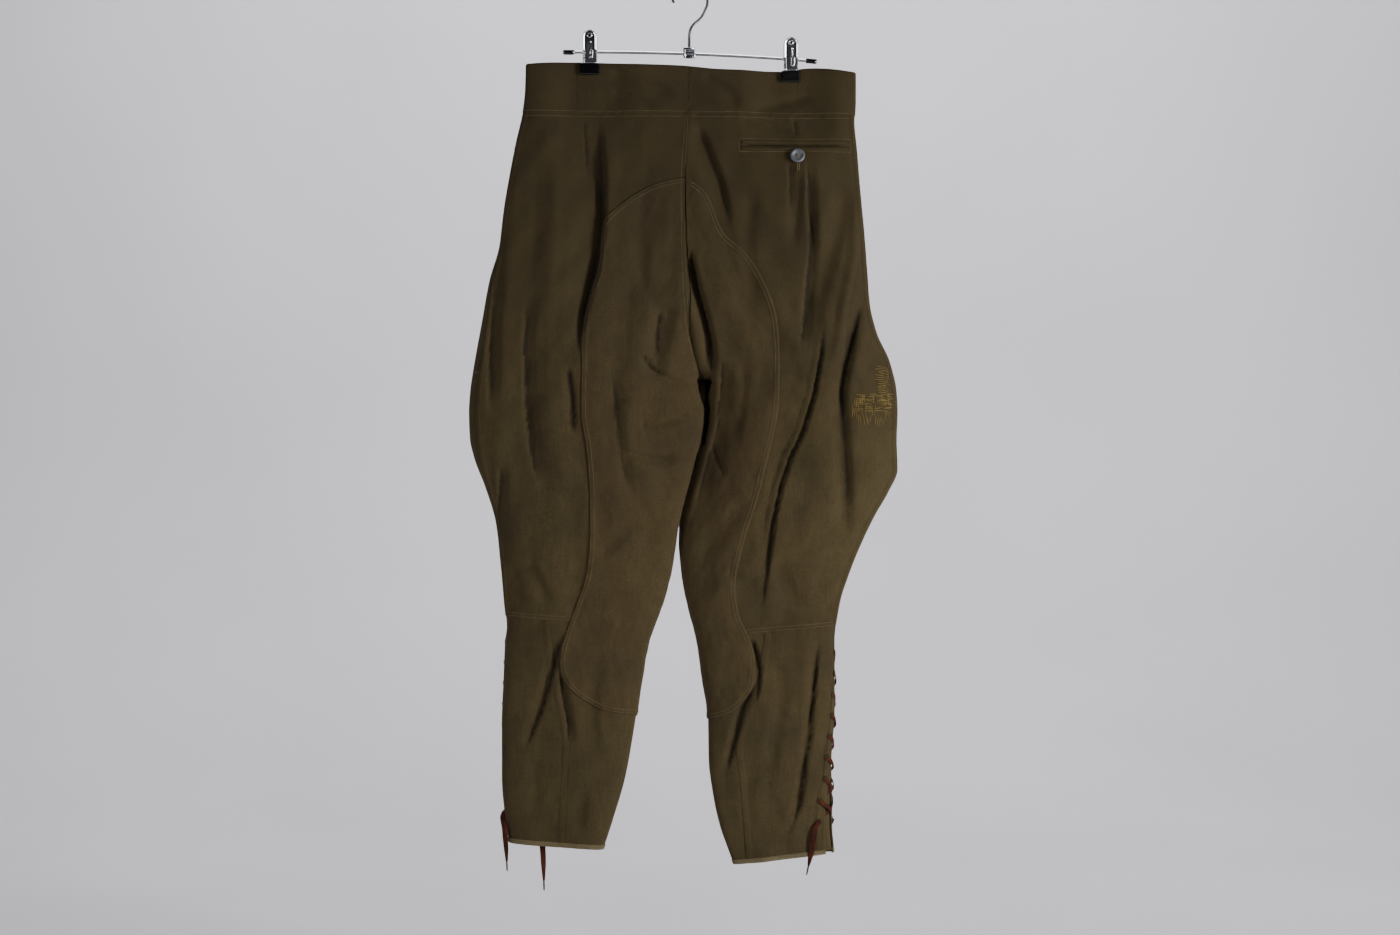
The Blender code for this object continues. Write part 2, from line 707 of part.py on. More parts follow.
def prism(name, outline, y0, y1):
    """A cutter: an outline of (x, drop) points, drawn out along Y."""
    mesh = bmesh.new()
    near = [mesh.verts.new((x * MM, y0 * MM, -drop * MM)) for x, drop in outline]
    face = mesh.faces.new(near)
    grown = bmesh.ops.extrude_face_region(mesh, geom=[face])
    moved = [item for item in grown["geom"] if isinstance(item, bmesh.types.BMVert)]
    bmesh.ops.translate(mesh, verts=moved, vec=Vector((0, (y1 - y0) * MM, 0)))
    bmesh.ops.recalc_face_normals(mesh, faces=mesh.faces)
    data = bpy.data.meshes.new(name)
    mesh.to_mesh(data)
    mesh.free()
    cutter = bpy.data.objects.new(name, data)
    cutter.hide_render = True
    cutter.display_type = "WIRE"
    bpy.context.scene.collection.objects.link(cutter)
    return cutter


def cut(target, cutter, operation, solver="EXACT"):
    modifier = target.modifiers.new(operation.title(), "BOOLEAN")
    modifier.operation = operation
    modifier.solver = solver
    modifier.object = cutter


def rounded(points, steps=3):
    """A smooth closed-up run through hand-set points."""
    points = np.array(points, float)
    lengths = np.hypot(*np.diff(points, axis=0).T)
    run = np.concatenate([[0], np.cumsum(lengths)])
    at = np.linspace(0, run[-1], (len(points) - 1) * steps + 1)
    return list(zip(*(curve(list(zip(run, points[:, axis])), at) for axis in (0, 1))))


def make_patch(leg):
    """The riding patch: over the seat and the inside of the leg, round to the front."""
    sign = SIGN[leg]
    knee = KNEE[leg]
    levels = [level for level in upper_levels(leg)[:-1] if level > 225] + [knee]
    levels += [level for level in calf_levels(leg)[1:] if level < 920]

    def back(section):
        if section.level <= knee:
            return back_arcs(section)[:INNER_COLUMNS + 1]
        arcs = section.spread(section.start, calf_seam_arc(section) - GAP / 2, INNER_COLUMNS)
        arcs[0] += GAP / 2
        return arcs

    def front(section):
        return front_arcs(section)[FRONT_OUTER:]

    rows = [surface_row(leg, level, back) for level in levels]
    columns = INNER_COLUMNS + 1
    triangles = []
    for i, level in enumerate(levels[:-1]):
        bare = CROTCH_CELLS if CROTCH_LEVELS[0] <= level < CROTCH_LEVELS[1] else 0
        for j in range(bare, INNER_COLUMNS):
            a = i * columns + j
            triangles += [(a, a + columns, a + columns + 1), (a, a + columns + 1, a + 1)]
    total = len(levels) * columns
    front_rows = []
    for i, level in enumerate(levels):
        if level >= CROTCH_LEVELS[1]:
            rows.append(surface_row(leg, level, front))
            front_rows.append([*range(total, total + FRONT_INNER + 1), i * columns])
            total += FRONT_INNER + 1
    for upper, lower in zip(front_rows[:-1], front_rows[1:]):
        for j in range(FRONT_INNER + 1):
            a, b, c, d = upper[j], lower[j], lower[j + 1], upper[j + 1]
            triangles += [(a, b, c), (a, c, d)]
    points, outward = (np.concatenate(part) for part in zip(*rows))
    name = f"leg_patch_{leg}"
    made = thicken(
        name,
        points,
        outward,
        triangles,
        GAP + PATCH,
        GAP,
        new_material(name, *KHAKI_PATCH),
    )
    far = 60
    edge = rounded(PATCH_BACK[leg], steps=2)
    top, bottom = edge[0][1] - 7, edge[-1][1] + 1
    back_outline = [(-sign * far, top), (-sign * 2, top)] + edge + [(-sign * far, bottom)]
    back_cutter = prism(f"{name}_back_cutter", back_outline, -80, PATCH_TURN_Y[leg])
    front_edge = []
    for drop, width in rounded(PATCH_FRONT_WIDTH, steps=2):
        front_edge.append((curve(INNER[leg], drop) + sign * width, drop))
    bottom = front_edge[-1][1] + 3
    inside = curve(INNER[leg], bottom) - sign * far
    front_outline = [(inside, PATCH_FRONT_TOP), *front_edge]
    front_outline += [(curve(INNER[leg], bottom), bottom), (inside, bottom)]
    front_cutter = prism(f"{name}_front_cutter", front_outline, 1.0, 80)
    cut(back_cutter, front_cutter, "UNION", solver="MANIFOLD")
    cut(made, back_cutter, "INTERSECT", solver="MANIFOLD")


def make_fly():
    """The flap down the front, on the wearer's left."""
    def arcs(section):
        return section.spread(front_guide_arc(section), section.end, FRONT_INNER)

    levels = [level for level in upper_levels("left") if level < 390]
    panel("fly_flap", "left", levels, arcs, KHAKI, outer=GAP + PATCH, inner=GAP)


POCKET_X = (61.0, 186.0)
POCKET_DROP = 203.0
WELT_HEIGHT = 5.0
SLIT_HALF = 0.7


def make_pocket():
    """Two welts along the slit of the back pocket, on the wearer's right."""
    for name, low, high in (
        ("pocket_welt_upper", POCKET_DROP - SLIT_HALF - WELT_HEIGHT, POCKET_DROP - SLIT_HALF),
        ("pocket_welt_lower", POCKET_DROP + SLIT_HALF, POCKET_DROP + SLIT_HALF + WELT_HEIGHT),
    ):
        def arcs(section):
            return [section.arc_at_x(x) for x in np.linspace(*POCKET_X, 16)]

        panel(name, "right", [low, high], arcs, KHAKI, outer=1.8, inner=0.8)


BUTTON_DIAMETER = 17.7
BUTTON_LIFT = 1.8
SHANK = 1.5  # radius of the thread between the button and the cloth
BUTTON_PROFILE = [  # radius, height
    (0, 1.5), (2.6, 1.3), (4.4, 1.1), (5.6, 2.1), (7.4, 2.6), (8.85, 1.5), (8.3, 0.4), (SHANK, 0.2),
    (SHANK, GAP - BUTTON_LIFT), (0, GAP - BUTTON_LIFT),
]


def turned(name, profile, colour, sides=20):
    """A solid turned from (radius, height) points about Z."""
    mesh = bmesh.new()
    rings = []
    for radius, height in profile:
        if radius == 0:
            rings.append([mesh.verts.new((0, 0, height * MM))])
            continue
        angles = [math.tau * side / sides for side in range(sides)]
        ring = [(radius * MM * math.cos(a), radius * MM * math.sin(a), height * MM) for a in angles]
        rings.append([mesh.verts.new(place) for place in ring])
    for upper, lower in zip(rings[:-1], rings[1:]):
        for side in range(sides):
            a, b = upper[side % len(upper)], upper[(side + 1) % len(upper)]
            c, d = lower[(side + 1) % len(lower)], lower[side % len(lower)]
            mesh.faces.new(list(dict.fromkeys((a, b, c, d))))
    bmesh.ops.recalc_face_normals(mesh, faces=mesh.faces)
    data = bpy.data.meshes.new(name)
    mesh.to_mesh(data)
    mesh.free()
    data.shade_smooth()
    data.set_sharp_from_angle(angle=math.radians(40))
    return new_object(name, data, new_material(name, *colour))


def place_on_cloth(thing, leg, level, x, lift, front=False):
    """Sets a turned piece down on the surface, facing out."""
    def arcs(section):
        return [section.arc_at_x(x, front)]

    points, outward = surface_row(leg, level, arcs)
    thing.location = Vector((points[0] + outward[0] * lift) * MM)
    thing.rotation_mode = "QUATERNION"
    thing.rotation_quaternion = Vector(outward[0]).to_track_quat("Z", "Y")


def make_buttons():
    pocket = turned("pocket_button", BUTTON_PROFILE, BUTTON_GREY)
    place_on_cloth(pocket, "right", 216, 126, BUTTON_LIFT)
    waist = turned("waist_button", BUTTON_PROFILE, BUTTON_GREY)
    place_on_cloth(waist, "left", 136, -16, BUTTON_LIFT, front=True)


# The lacing

EYELETS = 9
EYELET_INSET = 8.0
LACE_WIDTH = 6.0
LACE_WALL = 1.0
LACE_TOP = {"left": 792.0, "right": 806.0}
LACE_PITCH = 25.0


def eyelet(leg, index, side):
    """(distance round, level) of one eyelet, at the back or front edge of the slit."""
    level = LACE_TOP[leg] + LACE_PITCH * index * 0.985
    if side == "back":
        return curve(SLIT_BACK[leg], level) - EYELET_INSET, level
    return curve(SLIT_FRONT[leg], level) + EYELET_INSET, level


def make_strand(name, leg, first_side, lift):
    """One half of the lacing: a flat lace that zigzags down the slit from eyelet to eyelet."""
    sides = ("back", "front") if first_side == "back" else ("front", "back")
    corners = [eyelet(leg, index, sides[index % 2]) for index in range(EYELETS)]
    steps = 4
    path = []
    for (a0, l0), (a1, l1) in zip(corners[:-1], corners[1:]):
        for step in range(steps):
            t = step / steps
            path.append((a0 + (a1 - a0) * t, l0 + (l1 - l0) * t, math.sin(math.pi * t)))
    path.append((*corners[-1], 0.0))
    places = []
    for arc, level, hump in path:
        points, outward = surface_row(leg, level, lambda section, arc=arc: [arc])
        places.append((points[0] + outward[0] * (0.9 + lift * hump), outward[0]))
    mesh = bmesh.new()
    rings = []
    for index, (place, out) in enumerate(places):
        before, after = places[max(index - 1, 0)][0], places[min(index + 1, len(places) - 1)][0]
        run = after - before
        run /= np.linalg.norm(run)
        wide = np.cross(out, run)
        wide /= np.linalg.norm(wide)
        near, far = place, place + out * LACE_WALL
        half = wide * LACE_WIDTH / 2 * 0.8
        ring = [near - half, near + half, far + half, far - half]
        rings.append([mesh.verts.new(Vector(corner * MM)) for corner in ring])
    for upper, lower in zip(rings[:-1], rings[1:]):
        for k in range(4):
            mesh.faces.new((upper[k], upper[(k + 1) % 4], lower[(k + 1) % 4], lower[k]))
    mesh.faces.new(rings[0])
    mesh.faces.new(rings[-1][::-1])
    bmesh.ops.recalc_face_normals(mesh, faces=mesh.faces)
    data = bpy.data.meshes.new(name)
    mesh.to_mesh(data)
    mesh.free()
    return new_object(name, data, new_material(name, *LACE_BROWN))


# The lace's four free ends, each a hand-set row of (x, y, drop) points that starts at the last eyelet
LACE_ENDS = {
    "lace_end_right_back": (
        (151.0, -14.0, 997.8), (149.0, -14.6, 1000.2), (147.0, -15.1, 1004.5), (145.4, -15.3, 1013),
        (143.6, -15.3, 1024), (141.5, -15.0, 1036), (139.0, -14.6, 1048.5),
    ),
    "lace_end_right_front": (
        (168.0, 5.1, 996.1), (167.6, 7.3, 998.4), (165.8, 9.2, 1001.8), (163.0, 10.4, 1007),
        (160.2, 11.5, 1014), (158.0, 12.3, 1021), (156.8, 12.7, 1027),
    ),
    "lace_end_left_back": (
        (-215.8, 8.7, 984.9), (-217.9, 7.6, 987.3), (-220.3, 4.0, 990), (-220.9, -1.0, 993.5), (-219.6, -6.0, 998),
        (-217.8, -9.0, 1006), (-217.0, -9.6, 1018), (-216.0, -9.0, 1032), (-215.5, -8.0, 1045),
    ),
    "lace_end_left_front": (
        (-190.0, 13.3, 986.6), (-187.9, 13.6, 988.8), (-184.6, 14.0, 994), (-180.6, 14.2, 1004),
        (-177.2, 14.1, 1016), (-175.0, 13.7, 1030), (-174.0, 12.7, 1046), (-173.5, 11.7, 1060), (-173.2, 11.0, 1071),
    ),
}
AGLET_LENGTH = 11.0
AGLET_DIAMETER = 2.4


def make_lace_end(name, route):
    """A flat lace, drawn as a plain cord of the same thickness, with its tag."""
    points = rounded3(route)
    data = bpy.data.curves.new(name, "CURVE")
    data.dimensions = "3D"
    data.bevel_depth = 1.5 * MM
    data.bevel_resolution = 2
    data.use_fill_caps = True
    spline = data.splines.new("POLY")
    spline.points.add(len(points) - 1)
    for point, place in zip(spline.points, points):
        point.co = (*place, 1.0)
    new_object(name, data, new_material(name, *LACE_BROWN))
    last, run = Vector(points[-1]), Vector(points[-1]) - Vector(points[-2])
    run.normalize()
    tag = turned(
        name.replace("end", "tag"),
        [(0, 0), (AGLET_DIAMETER / 2, 0), (AGLET_DIAMETER / 2, AGLET_LENGTH - 1), (0.6, AGLET_LENGTH), (0, AGLET_LENGTH)],
        LACE_BROWN,
        sides=10,
    )
    tag.location = last + run * GAP * MM
    tag.rotation_mode = "QUATERNION"
    tag.rotation_quaternion = run.to_track_quat("Z", "Y")


def rounded3(route, spacing=6.0):
    """Points along a smooth curve through a route's own (x, y, drop) points, in metres."""
    route = np.array(route, float)
    run = np.concatenate([[0], np.cumsum(np.linalg.norm(np.diff(route, axis=0), axis=1))])
    at = np.linspace(0, run[-1], max(6, round(run[-1] / spacing) + 1))
    x, y, drop = (curve(list(zip(run, route[:, axis])), at) for axis in range(3))
    return np.stack([x, y, -drop], axis=1) * MM


def make_lacing():
    for leg in ROWS:
        make_strand(f"lacing_{leg}_a", leg, "back", 0.8)
        make_strand(f"lacing_{leg}_b", leg, "front", 0.8 + LACE_WALL + 5 * GAP)
    for name, route in LACE_ENDS.items():
        make_lace_end(name, route)


# The hanger

def rod_drop(x):
    return ROD_DROP + ROD_SLOPE * x + ROD_BOW * x * x


def tube(name, points, diameter, colour, sides=12):
    """A round bar bent along points in metres."""
    data = bpy.data.curves.new(name, "CURVE")
    data.dimensions = "3D"
    data.bevel_depth = diameter / 2 * MM
    data.bevel_resolution = sides // 4 - 1
    data.use_fill_caps = True
    spline = data.splines.new("POLY")
    spline.points.add(len(points) - 1)
    for point, place in zip(spline.points, points):
        point.co = (*place, 1.0)
    return new_object(name, data, new_material(name, *colour))


def hook_route():
    """From the open tip over the top, down the right side and into the saddle."""
    points = []
    for turn in range(-33, 124, 12):
        angle = math.radians(180 - turn)
        points.append((HOOK_RADIUS * math.cos(angle), 0, HOOK_RADIUS * (1 - math.sin(angle)) - HOOK_WIRE / 2))
    points += [(20.6, 0, 33), (17.5, 0, 42), (12.4, 0, 51), (4.8, 0, 57.4), (0.8, 0, 63), (-0.8, 0, 71), (-1, 0, 85.4)]
    route = [points[0]]
    for place in points[1:]:
        if math.dist(place, route[-1]) > 3:
            route.append(place)
    return rounded3(route, 5.0)


def make_hanger():
    half = ROD_LENGTH / 2
    line = [(x * MM, 0, -rod_drop(x) * MM) for x in (half * step / 8 for step in range(-8, 9))]
    tube("hanger_rod", line, ROD_DIAMETER, CHROME, sides=16)
    for leg, sign in SIGN.items():
        cap = turned(
            f"rod_cap_{leg}",
            [(0, 0), (2.2, 0), (3.1, 1.5), (3.1, 11.5), (2.2, 13.5), (0, 14)],
            BLACK_VINYL,
            sides=16,
        )
        x = sign * (half + GAP)
        slope = ROD_SLOPE + 2 * ROD_BOW * x
        run = Vector((sign, 0, -sign * slope)).normalized()
        cap.location = Vector((x * MM, 0, -rod_drop(x) * MM))
        cap.rotation_mode = "QUATERNION"
        cap.rotation_quaternion = run.to_track_quat("Z", "Y")
    tube("hanger_hook", hook_route(), HOOK_WIRE, CHROME, sides=12)
    make_saddle()
    for leg in CLIP_X:
        make_clip(leg)


def box(mesh, low, high):
    """Adds a closed block between two corners, in millimetres."""
    made = bmesh.ops.create_cube(mesh, size=1)["verts"]
    size = [b - a for a, b in zip(low, high)]
    centre = [(a + b) / 2 for a, b in zip(low, high)]
    bmesh.ops.scale(mesh, verts=made, vec=Vector(size) * MM)
    bmesh.ops.translate(mesh, verts=made, vec=Vector(centre) * MM)


def block_object(name, low, high, colour):
    mesh = bmesh.new()
    box(mesh, low, high)
    data = bpy.data.meshes.new(name)
    mesh.to_mesh(data)
    mesh.free()
    return new_object(name, data, new_material(name, *colour))


def hidden(thing):
    thing.hide_render = True
    thing.display_type = "WIRE"
    return thing


def rod_hole(name, x):
    """A cutter along the rod, with running clearance."""
    run = [((x + aside) * MM, 0, -rod_drop(x + aside) * MM) for aside in (-20, 20)]
    hole = tube(name, run, ROD_DIAMETER + 0.8, CHROME, sides=12)
    graph = bpy.context.evaluated_depsgraph_get()
    data = bpy.data.meshes.new_from_object(hole.evaluated_get(graph))
    bpy.data.objects.remove(hole)
    return hidden(new_object(name, data, bpy.data.materials[name]))


def make_saddle():
    """The pressed sleeve in the middle, which grips the rod and holds the hook's stem."""
    x, half, wall = -1.0, 7.0, 1.2
    low, high = -97.8, -86.0
    saddle = block_object("hanger_saddle", (x - half, -4, low), (x + half, 4, high), CHROME)
    cut(saddle, rod_hole("hanger_saddle_hole", x), "DIFFERENCE")
    bevel = saddle.modifiers.new("Bevel", "BEVEL")
    bevel.width = wall * MM
    bevel.segments = 2
    bevel.limit_method = "ANGLE"
    bevel.angle_limit = math.radians(60)


LEAF_Y = (8.0, 4.4, 4.6)  # inner face of a leaf at its top, at the rod and at its grip


def leaf_profile(pivot):
    """(y, drop) along the inner face of a clip's leaf, from the top to the grip."""
    top, mid, low = LEAF_Y
    return [(top, pivot - CLIP_TOP), (top - 0.4, pivot - 18), (mid + 1.2, pivot - 8), (mid, pivot - 2),
            (mid, pivot + 4), (low, pivot + CLIP_END - 0.3)]


def make_clip(leg):
    """Two sprung leaves that pivot on the rod and press their sleeved ends on the waistband."""
    x = CLIP_X[leg]
    pivot = rod_drop(x)
    for side, sign, ear in (("back", -1, LEAF_WIDTH / 2 - 1.0), ("front", 1, LEAF_WIDTH / 2 - 2.4)):
        name = f"clip_{leg}_{side}"
        mesh = bmesh.new()
        rings = []
        half = LEAF_WIDTH / 2
        for y, drop in leaf_profile(pivot):
            up = pivot - drop
            narrow = half if up < CLIP_TOP - 6 else half * math.sqrt(max(0.2, 1 - ((up - CLIP_TOP + 6) / 6.6) ** 2))
            ring = [(-narrow, y), (narrow, y), (narrow, y + LEAF_WALL), (-narrow, y + LEAF_WALL)]
            rings.append([mesh.verts.new(((x + a) * MM, sign * b * MM, -drop * MM)) for a, b in ring])
        for upper, lower in zip(rings[:-1], rings[1:]):
            for k in range(4):
                mesh.faces.new((upper[k], upper[(k + 1) % 4], lower[(k + 1) % 4], lower[k]))
        mesh.faces.new(rings[0])
        mesh.faces.new(rings[-1])
        bmesh.ops.recalc_face_normals(mesh, faces=mesh.faces)
        data = bpy.data.meshes.new(name)
        mesh.to_mesh(data)
        mesh.free()
        leaf = new_object(name, data, new_material(name, *CHROME))
        for index, aside in enumerate((-ear, ear)):
            near, far = sorted((sign * (LEAF_Y[1] + 0.6), -sign * 4.0))
            low = (x + aside - 0.5, near, -pivot - 5.5)
            high = (x + aside + 0.5, far, -pivot + 5.5)
            flange = hidden(block_object(f"{name}_ear_{index}", low, high, CHROME))
            cut(leaf, flange, "UNION")
        cut(leaf, rod_hole(f"{name}_hole", x), "DIFFERENCE")
        make_grip(f"clip_grip_{leg}_{side}", x, pivot, sign)


def make_grip(name, x, pivot, sign):
    """The vinyl sleeve on a leaf's end."""
    near, wall = BAND + GAP / 2 + GAP, 4.0
    top, bottom = -pivot - CLIP_END, -pivot - CLIP_END - GRIP_HEIGHT
    y0, y1 = sorted((sign * near, sign * (near + wall)))
    grip = block_object(name, (x - GRIP_WIDTH / 2, y0, bottom), (x + GRIP_WIDTH / 2, y1, top), BLACK_VINYL)
    bevel = grip.modifiers.new("Bevel", "BEVEL")
    bevel.width = 1.4 * MM
    bevel.segments = 2


def main():
    for thing in list(bpy.data.objects):
        bpy.data.objects.remove(thing)
    for leg in ROWS:
        make_upper(leg)
        make_calf(leg)
        make_tongue(leg)
        make_hem_tape(leg)
        make_waistband(leg)
        make_patch(leg)
    make_fly()
    make_pocket()
    make_buttons()
    make_lacing()
    make_hanger()


main()
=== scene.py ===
# %% [markdown]
# # Laced riding breeches on a clip hanger
# The imported CAD part is a set of plain walls with the right shape and size. This lesson hangs the
# real cloth on it. Each cut piece of the breeches becomes a thin shell with its folds pressed in,
# then come the seams, the stitching, the laces and the hanger's chrome. The first step loads the
# frame. Nothing that is added may reach much further than that.

# %% Load the imported frame
import json
import math
from collections import namedtuple

import bpy
import numpy as np
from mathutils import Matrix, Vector

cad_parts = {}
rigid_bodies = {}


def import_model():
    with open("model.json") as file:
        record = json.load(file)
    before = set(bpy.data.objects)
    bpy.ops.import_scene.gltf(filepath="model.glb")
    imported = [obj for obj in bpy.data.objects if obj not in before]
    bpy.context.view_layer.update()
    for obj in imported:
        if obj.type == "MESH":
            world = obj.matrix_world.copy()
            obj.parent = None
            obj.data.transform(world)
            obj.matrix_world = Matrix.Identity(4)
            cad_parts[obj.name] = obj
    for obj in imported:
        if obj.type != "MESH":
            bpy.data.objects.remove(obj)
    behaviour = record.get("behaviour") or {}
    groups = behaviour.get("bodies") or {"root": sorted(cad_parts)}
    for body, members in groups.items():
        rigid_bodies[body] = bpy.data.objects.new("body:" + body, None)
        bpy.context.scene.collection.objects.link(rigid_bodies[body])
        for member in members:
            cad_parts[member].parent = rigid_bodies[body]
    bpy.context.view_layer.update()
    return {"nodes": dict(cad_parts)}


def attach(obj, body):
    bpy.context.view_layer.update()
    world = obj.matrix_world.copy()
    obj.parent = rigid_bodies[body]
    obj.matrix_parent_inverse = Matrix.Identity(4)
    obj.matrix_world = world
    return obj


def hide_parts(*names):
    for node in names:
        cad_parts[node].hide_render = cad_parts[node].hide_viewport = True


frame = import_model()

MM = 0.001

# %% [markdown]
# The breeches hang flat and are seen square on, from behind, by a camera at hip height. A long lens
# keeps the picture flat. The distance and the width of the view are real sizes, and the lens angle
# follows from them.

# %% Place the camera
VIEW_WIDTH = 1.652  # metres across the picture, at the garment
VIEW_DISTANCE = 2.6
VIEW_X, VIEW_Z = 0.0118, -0.581

camera_data = bpy.data.cameras.new("camera")
camera_data.sensor_fit = "HORIZONTAL"
camera_data.angle = 2 * math.atan(VIEW_WIDTH / 2 / VIEW_DISTANCE)
camera = bpy.data.objects.new("camera", camera_data)
camera.location = (VIEW_X, -VIEW_DISTANCE, VIEW_Z)
camera.rotation_euler = (math.radians(90), 0, 0)
bpy.context.scene.collection.objects.link(camera)
bpy.context.scene.camera = camera
print("camera angle", round(math.degrees(camera_data.angle), 1))

# %% [markdown]
# Sizes in this lesson are in millimetres and heights are drops below the hook, as a tailor would
# measure down from a rail. Nearly every shape is read off a smooth line through a short table. A
# plain cubic would swing past its points, so this one keeps each slope between those of its
# neighbours.

# %% Smooth lines through tables
def curve(table, at):
    """The value at `at` on a smooth line through (place, value) rows that never swings past a row."""
    places = np.array([row[0] for row in table], float)
    values = np.array([row[1] for row in table], float)
    steps = np.diff(places)
    rises = np.diff(values) / steps
    slopes = np.zeros(len(places))
    slopes[0], slopes[-1] = rises[0], rises[-1]
    same_way = rises[:-1] * rises[1:] > 0
    before, after = 2 * steps[1:] + steps[:-1], steps[1:] + 2 * steps[:-1]
    with np.errstate(divide="ignore", invalid="ignore"):
        mixed = (before + after) / (before / rises[:-1] + after / rises[1:])
    slopes[1:-1] = np.where(same_way, mixed, 0.0)
    at = np.clip(at, places[0], places[-1])
    index = np.clip(np.searchsorted(places, at, side="right") - 1, 0, len(steps) - 1)
    step = steps[index]
    t = (at - places[index]) / step
    return (
        values[index] * (1 + 2 * t) * (1 - t) ** 2
        + slopes[index] * step * t * (1 - t) ** 2
        + values[index + 1] * t**2 * (3 - 2 * t)
        + slopes[index + 1] * step * t**2 * (t - 1)
    )


def ease(t):
    """0 below 0, 1 above 1, and an S between them."""
    t = np.clip(t, 0.0, 1.0)
    return t * t * (3 - 2 * t)


def steps_of(points):
    """The distance from each point of a line to the next."""
    return np.linalg.norm(np.diff(points, axis=0), axis=1)


def run_along(points):
    """How far along a line each of its points is."""
    return np.concatenate([[0], np.cumsum(steps_of(points))])


def through(route, spacing):
    """Points about `spacing` apart on a smooth curve through a route's own points."""
    route = np.array(route, float)
    run = run_along(route)
    at = np.linspace(0, run[-1], max(6, round(run[-1] / spacing) + 1))
    return np.stack([curve(list(zip(run, route[:, axis])), at) for axis in range(route.shape[1])], axis=1)


print("halfway along an S from 2 to 4:", curve([(0, 2), (1, 2.2), (2, 3.8), (3, 4)], 1.5))

# %% [markdown]
# Every piece is a mesh made from arrays of points, so one helper turns arrays into an object. It
# shades smoothly, sets the finish, hangs the piece on the frame's only body and hides the CAD
# nodes it stands for. Pieces get their material later by name, from a table of finishes.

# %% Make a piece
FINISH = {}  # piece name: name of its finish


def piece(name, points, faces, finish, slot, nodes=(), places=None, bend=None):
    """A mesh piece, from points in millimetres with z up, that rides on the frame."""
    data = bpy.data.meshes.new(name)
    data.from_pydata((np.asarray(points) * MM).tolist(), [], [list(map(int, face)) for face in faces])
    data.validate()
    data.shade_smooth()
    if places is not None:
        attribute = data.attributes.new("cloth_place", "FLOAT_VECTOR", "POINT")
        attribute.data.foreach_set("vector", (np.asarray(places, float) * MM).ravel())
    if bend is not None:
        attribute = data.attributes.new("crease", "FLOAT", "POINT")
        attribute.data.foreach_set("value", np.asarray(bend, float).ravel())
    made = bpy.data.objects.new(name, data)
    bpy.context.scene.collection.objects.link(made)
    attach(made, "root")
    if nodes:
        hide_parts(*nodes)
    FINISH[name] = finish
    return made


def unit(vectors):
    return vectors / np.maximum(np.linalg.norm(vectors, axis=-1, keepdims=True), 1e-9)


def tube_faces(rings, sides):
    """Faces of a closed tube whose rings of points follow each other."""
    found = []
    for i in range(rings - 1):
        for j in range(sides):
            a, b = i * sides + j, i * sides + (j + 1) % sides
            found.append((a, b, b + sides, a + sides))
    found.append(tuple(range(sides))[::-1])
    found.append(tuple(range((rings - 1) * sides, rings * sides)))
    return found


# %% [markdown]
# The lace's four free ends hang below the last eyelets. A lace is a flat woven tube, so each end is
# an oval swept along its route. It turns over as it falls, and narrows into a hard tag. The routes
# are the ones the CAD part has.

# %% Hang the lace ends
LACE_WIDTH = 5.4
LACE_THICK = 1.1
LACE_SIDES = 12  # of the oval that is swept
TAG_LENGTH = 11.0
TAG_WIDTH = 2.2
LACE_ENDS = {
    "lace_end_right_back": (
        (151.0, -14.0, 997.8), (149.0, -14.6, 1000.2), (147.0, -15.1, 1004.5), (145.4, -15.3, 1013),
        (143.6, -15.3, 1024), (141.5, -15.0, 1036), (139.0, -14.6, 1048.5),
    ),
    "lace_end_right_front": (
        (168.0, 5.1, 996.1), (167.6, 7.3, 998.4), (165.8, 9.2, 1001.8), (163.0, 10.4, 1007),
        (160.2, 11.5, 1014), (158.0, 12.3, 1021), (156.8, 12.7, 1027),
    ),
    "lace_end_left_back": (
        (-215.8, 8.7, 984.9), (-217.9, 7.6, 987.3), (-220.3, 4.0, 990), (-220.9, -1.0, 993.5),
        (-219.6, -6.0, 998),
        (-217.8, -9.0, 1006), (-217.0, -9.6, 1018), (-216.0, -9.0, 1032), (-215.5, -8.0, 1045),
    ),
    "lace_end_left_front": (
        (-190.0, 13.3, 986.6), (-187.9, 13.6, 988.8), (-184.6, 14.0, 994), (-180.6, 14.2, 1004),
        (-177.2, 14.1, 1016), (-175.0, 13.7, 1030), (-174.0, 12.7, 1046), (-173.5, 11.7, 1060),
        (-173.2, 11.0, 1071),
    ),
}
LACE_TURNS = {  # degrees that the flat lace turns about its run, from its start to its tag
    "lace_end_right_back": 24,
    "lace_end_right_front": -35,
    "lace_end_left_back": 30,
    "lace_end_left_front": -28,
}


def upright(points):
    """(x, y, drop) rows as (x, y, z)."""
    return np.asarray(points) * (1, 1, -1)


def ribbon(path, wide, width, thick):
    """Ring points of a flat oval swept along a path, and the faces between them."""
    run = unit(np.gradient(path, axis=0))
    wide = unit(wide - np.sum(wide * run, axis=1, keepdims=True) * run)
    thin = np.cross(run, wide)
    angles = np.linspace(0, math.tau, LACE_SIDES, endpoint=False)
    across, along = np.cos(angles), np.sin(angles)
    across = np.sign(across) * np.abs(across) ** 0.7
    rings = path[:, None] + wide[:, None] * (across * 0.5)[None, :, None] * np.reshape(width, (-1, 1, 1))
    rings = rings + thin[:, None] * (along * 0.5)[None, :, None] * np.reshape(thick, (-1, 1, 1))
    return rings.reshape(-1, 3), tube_faces(len(path), LACE_SIDES)


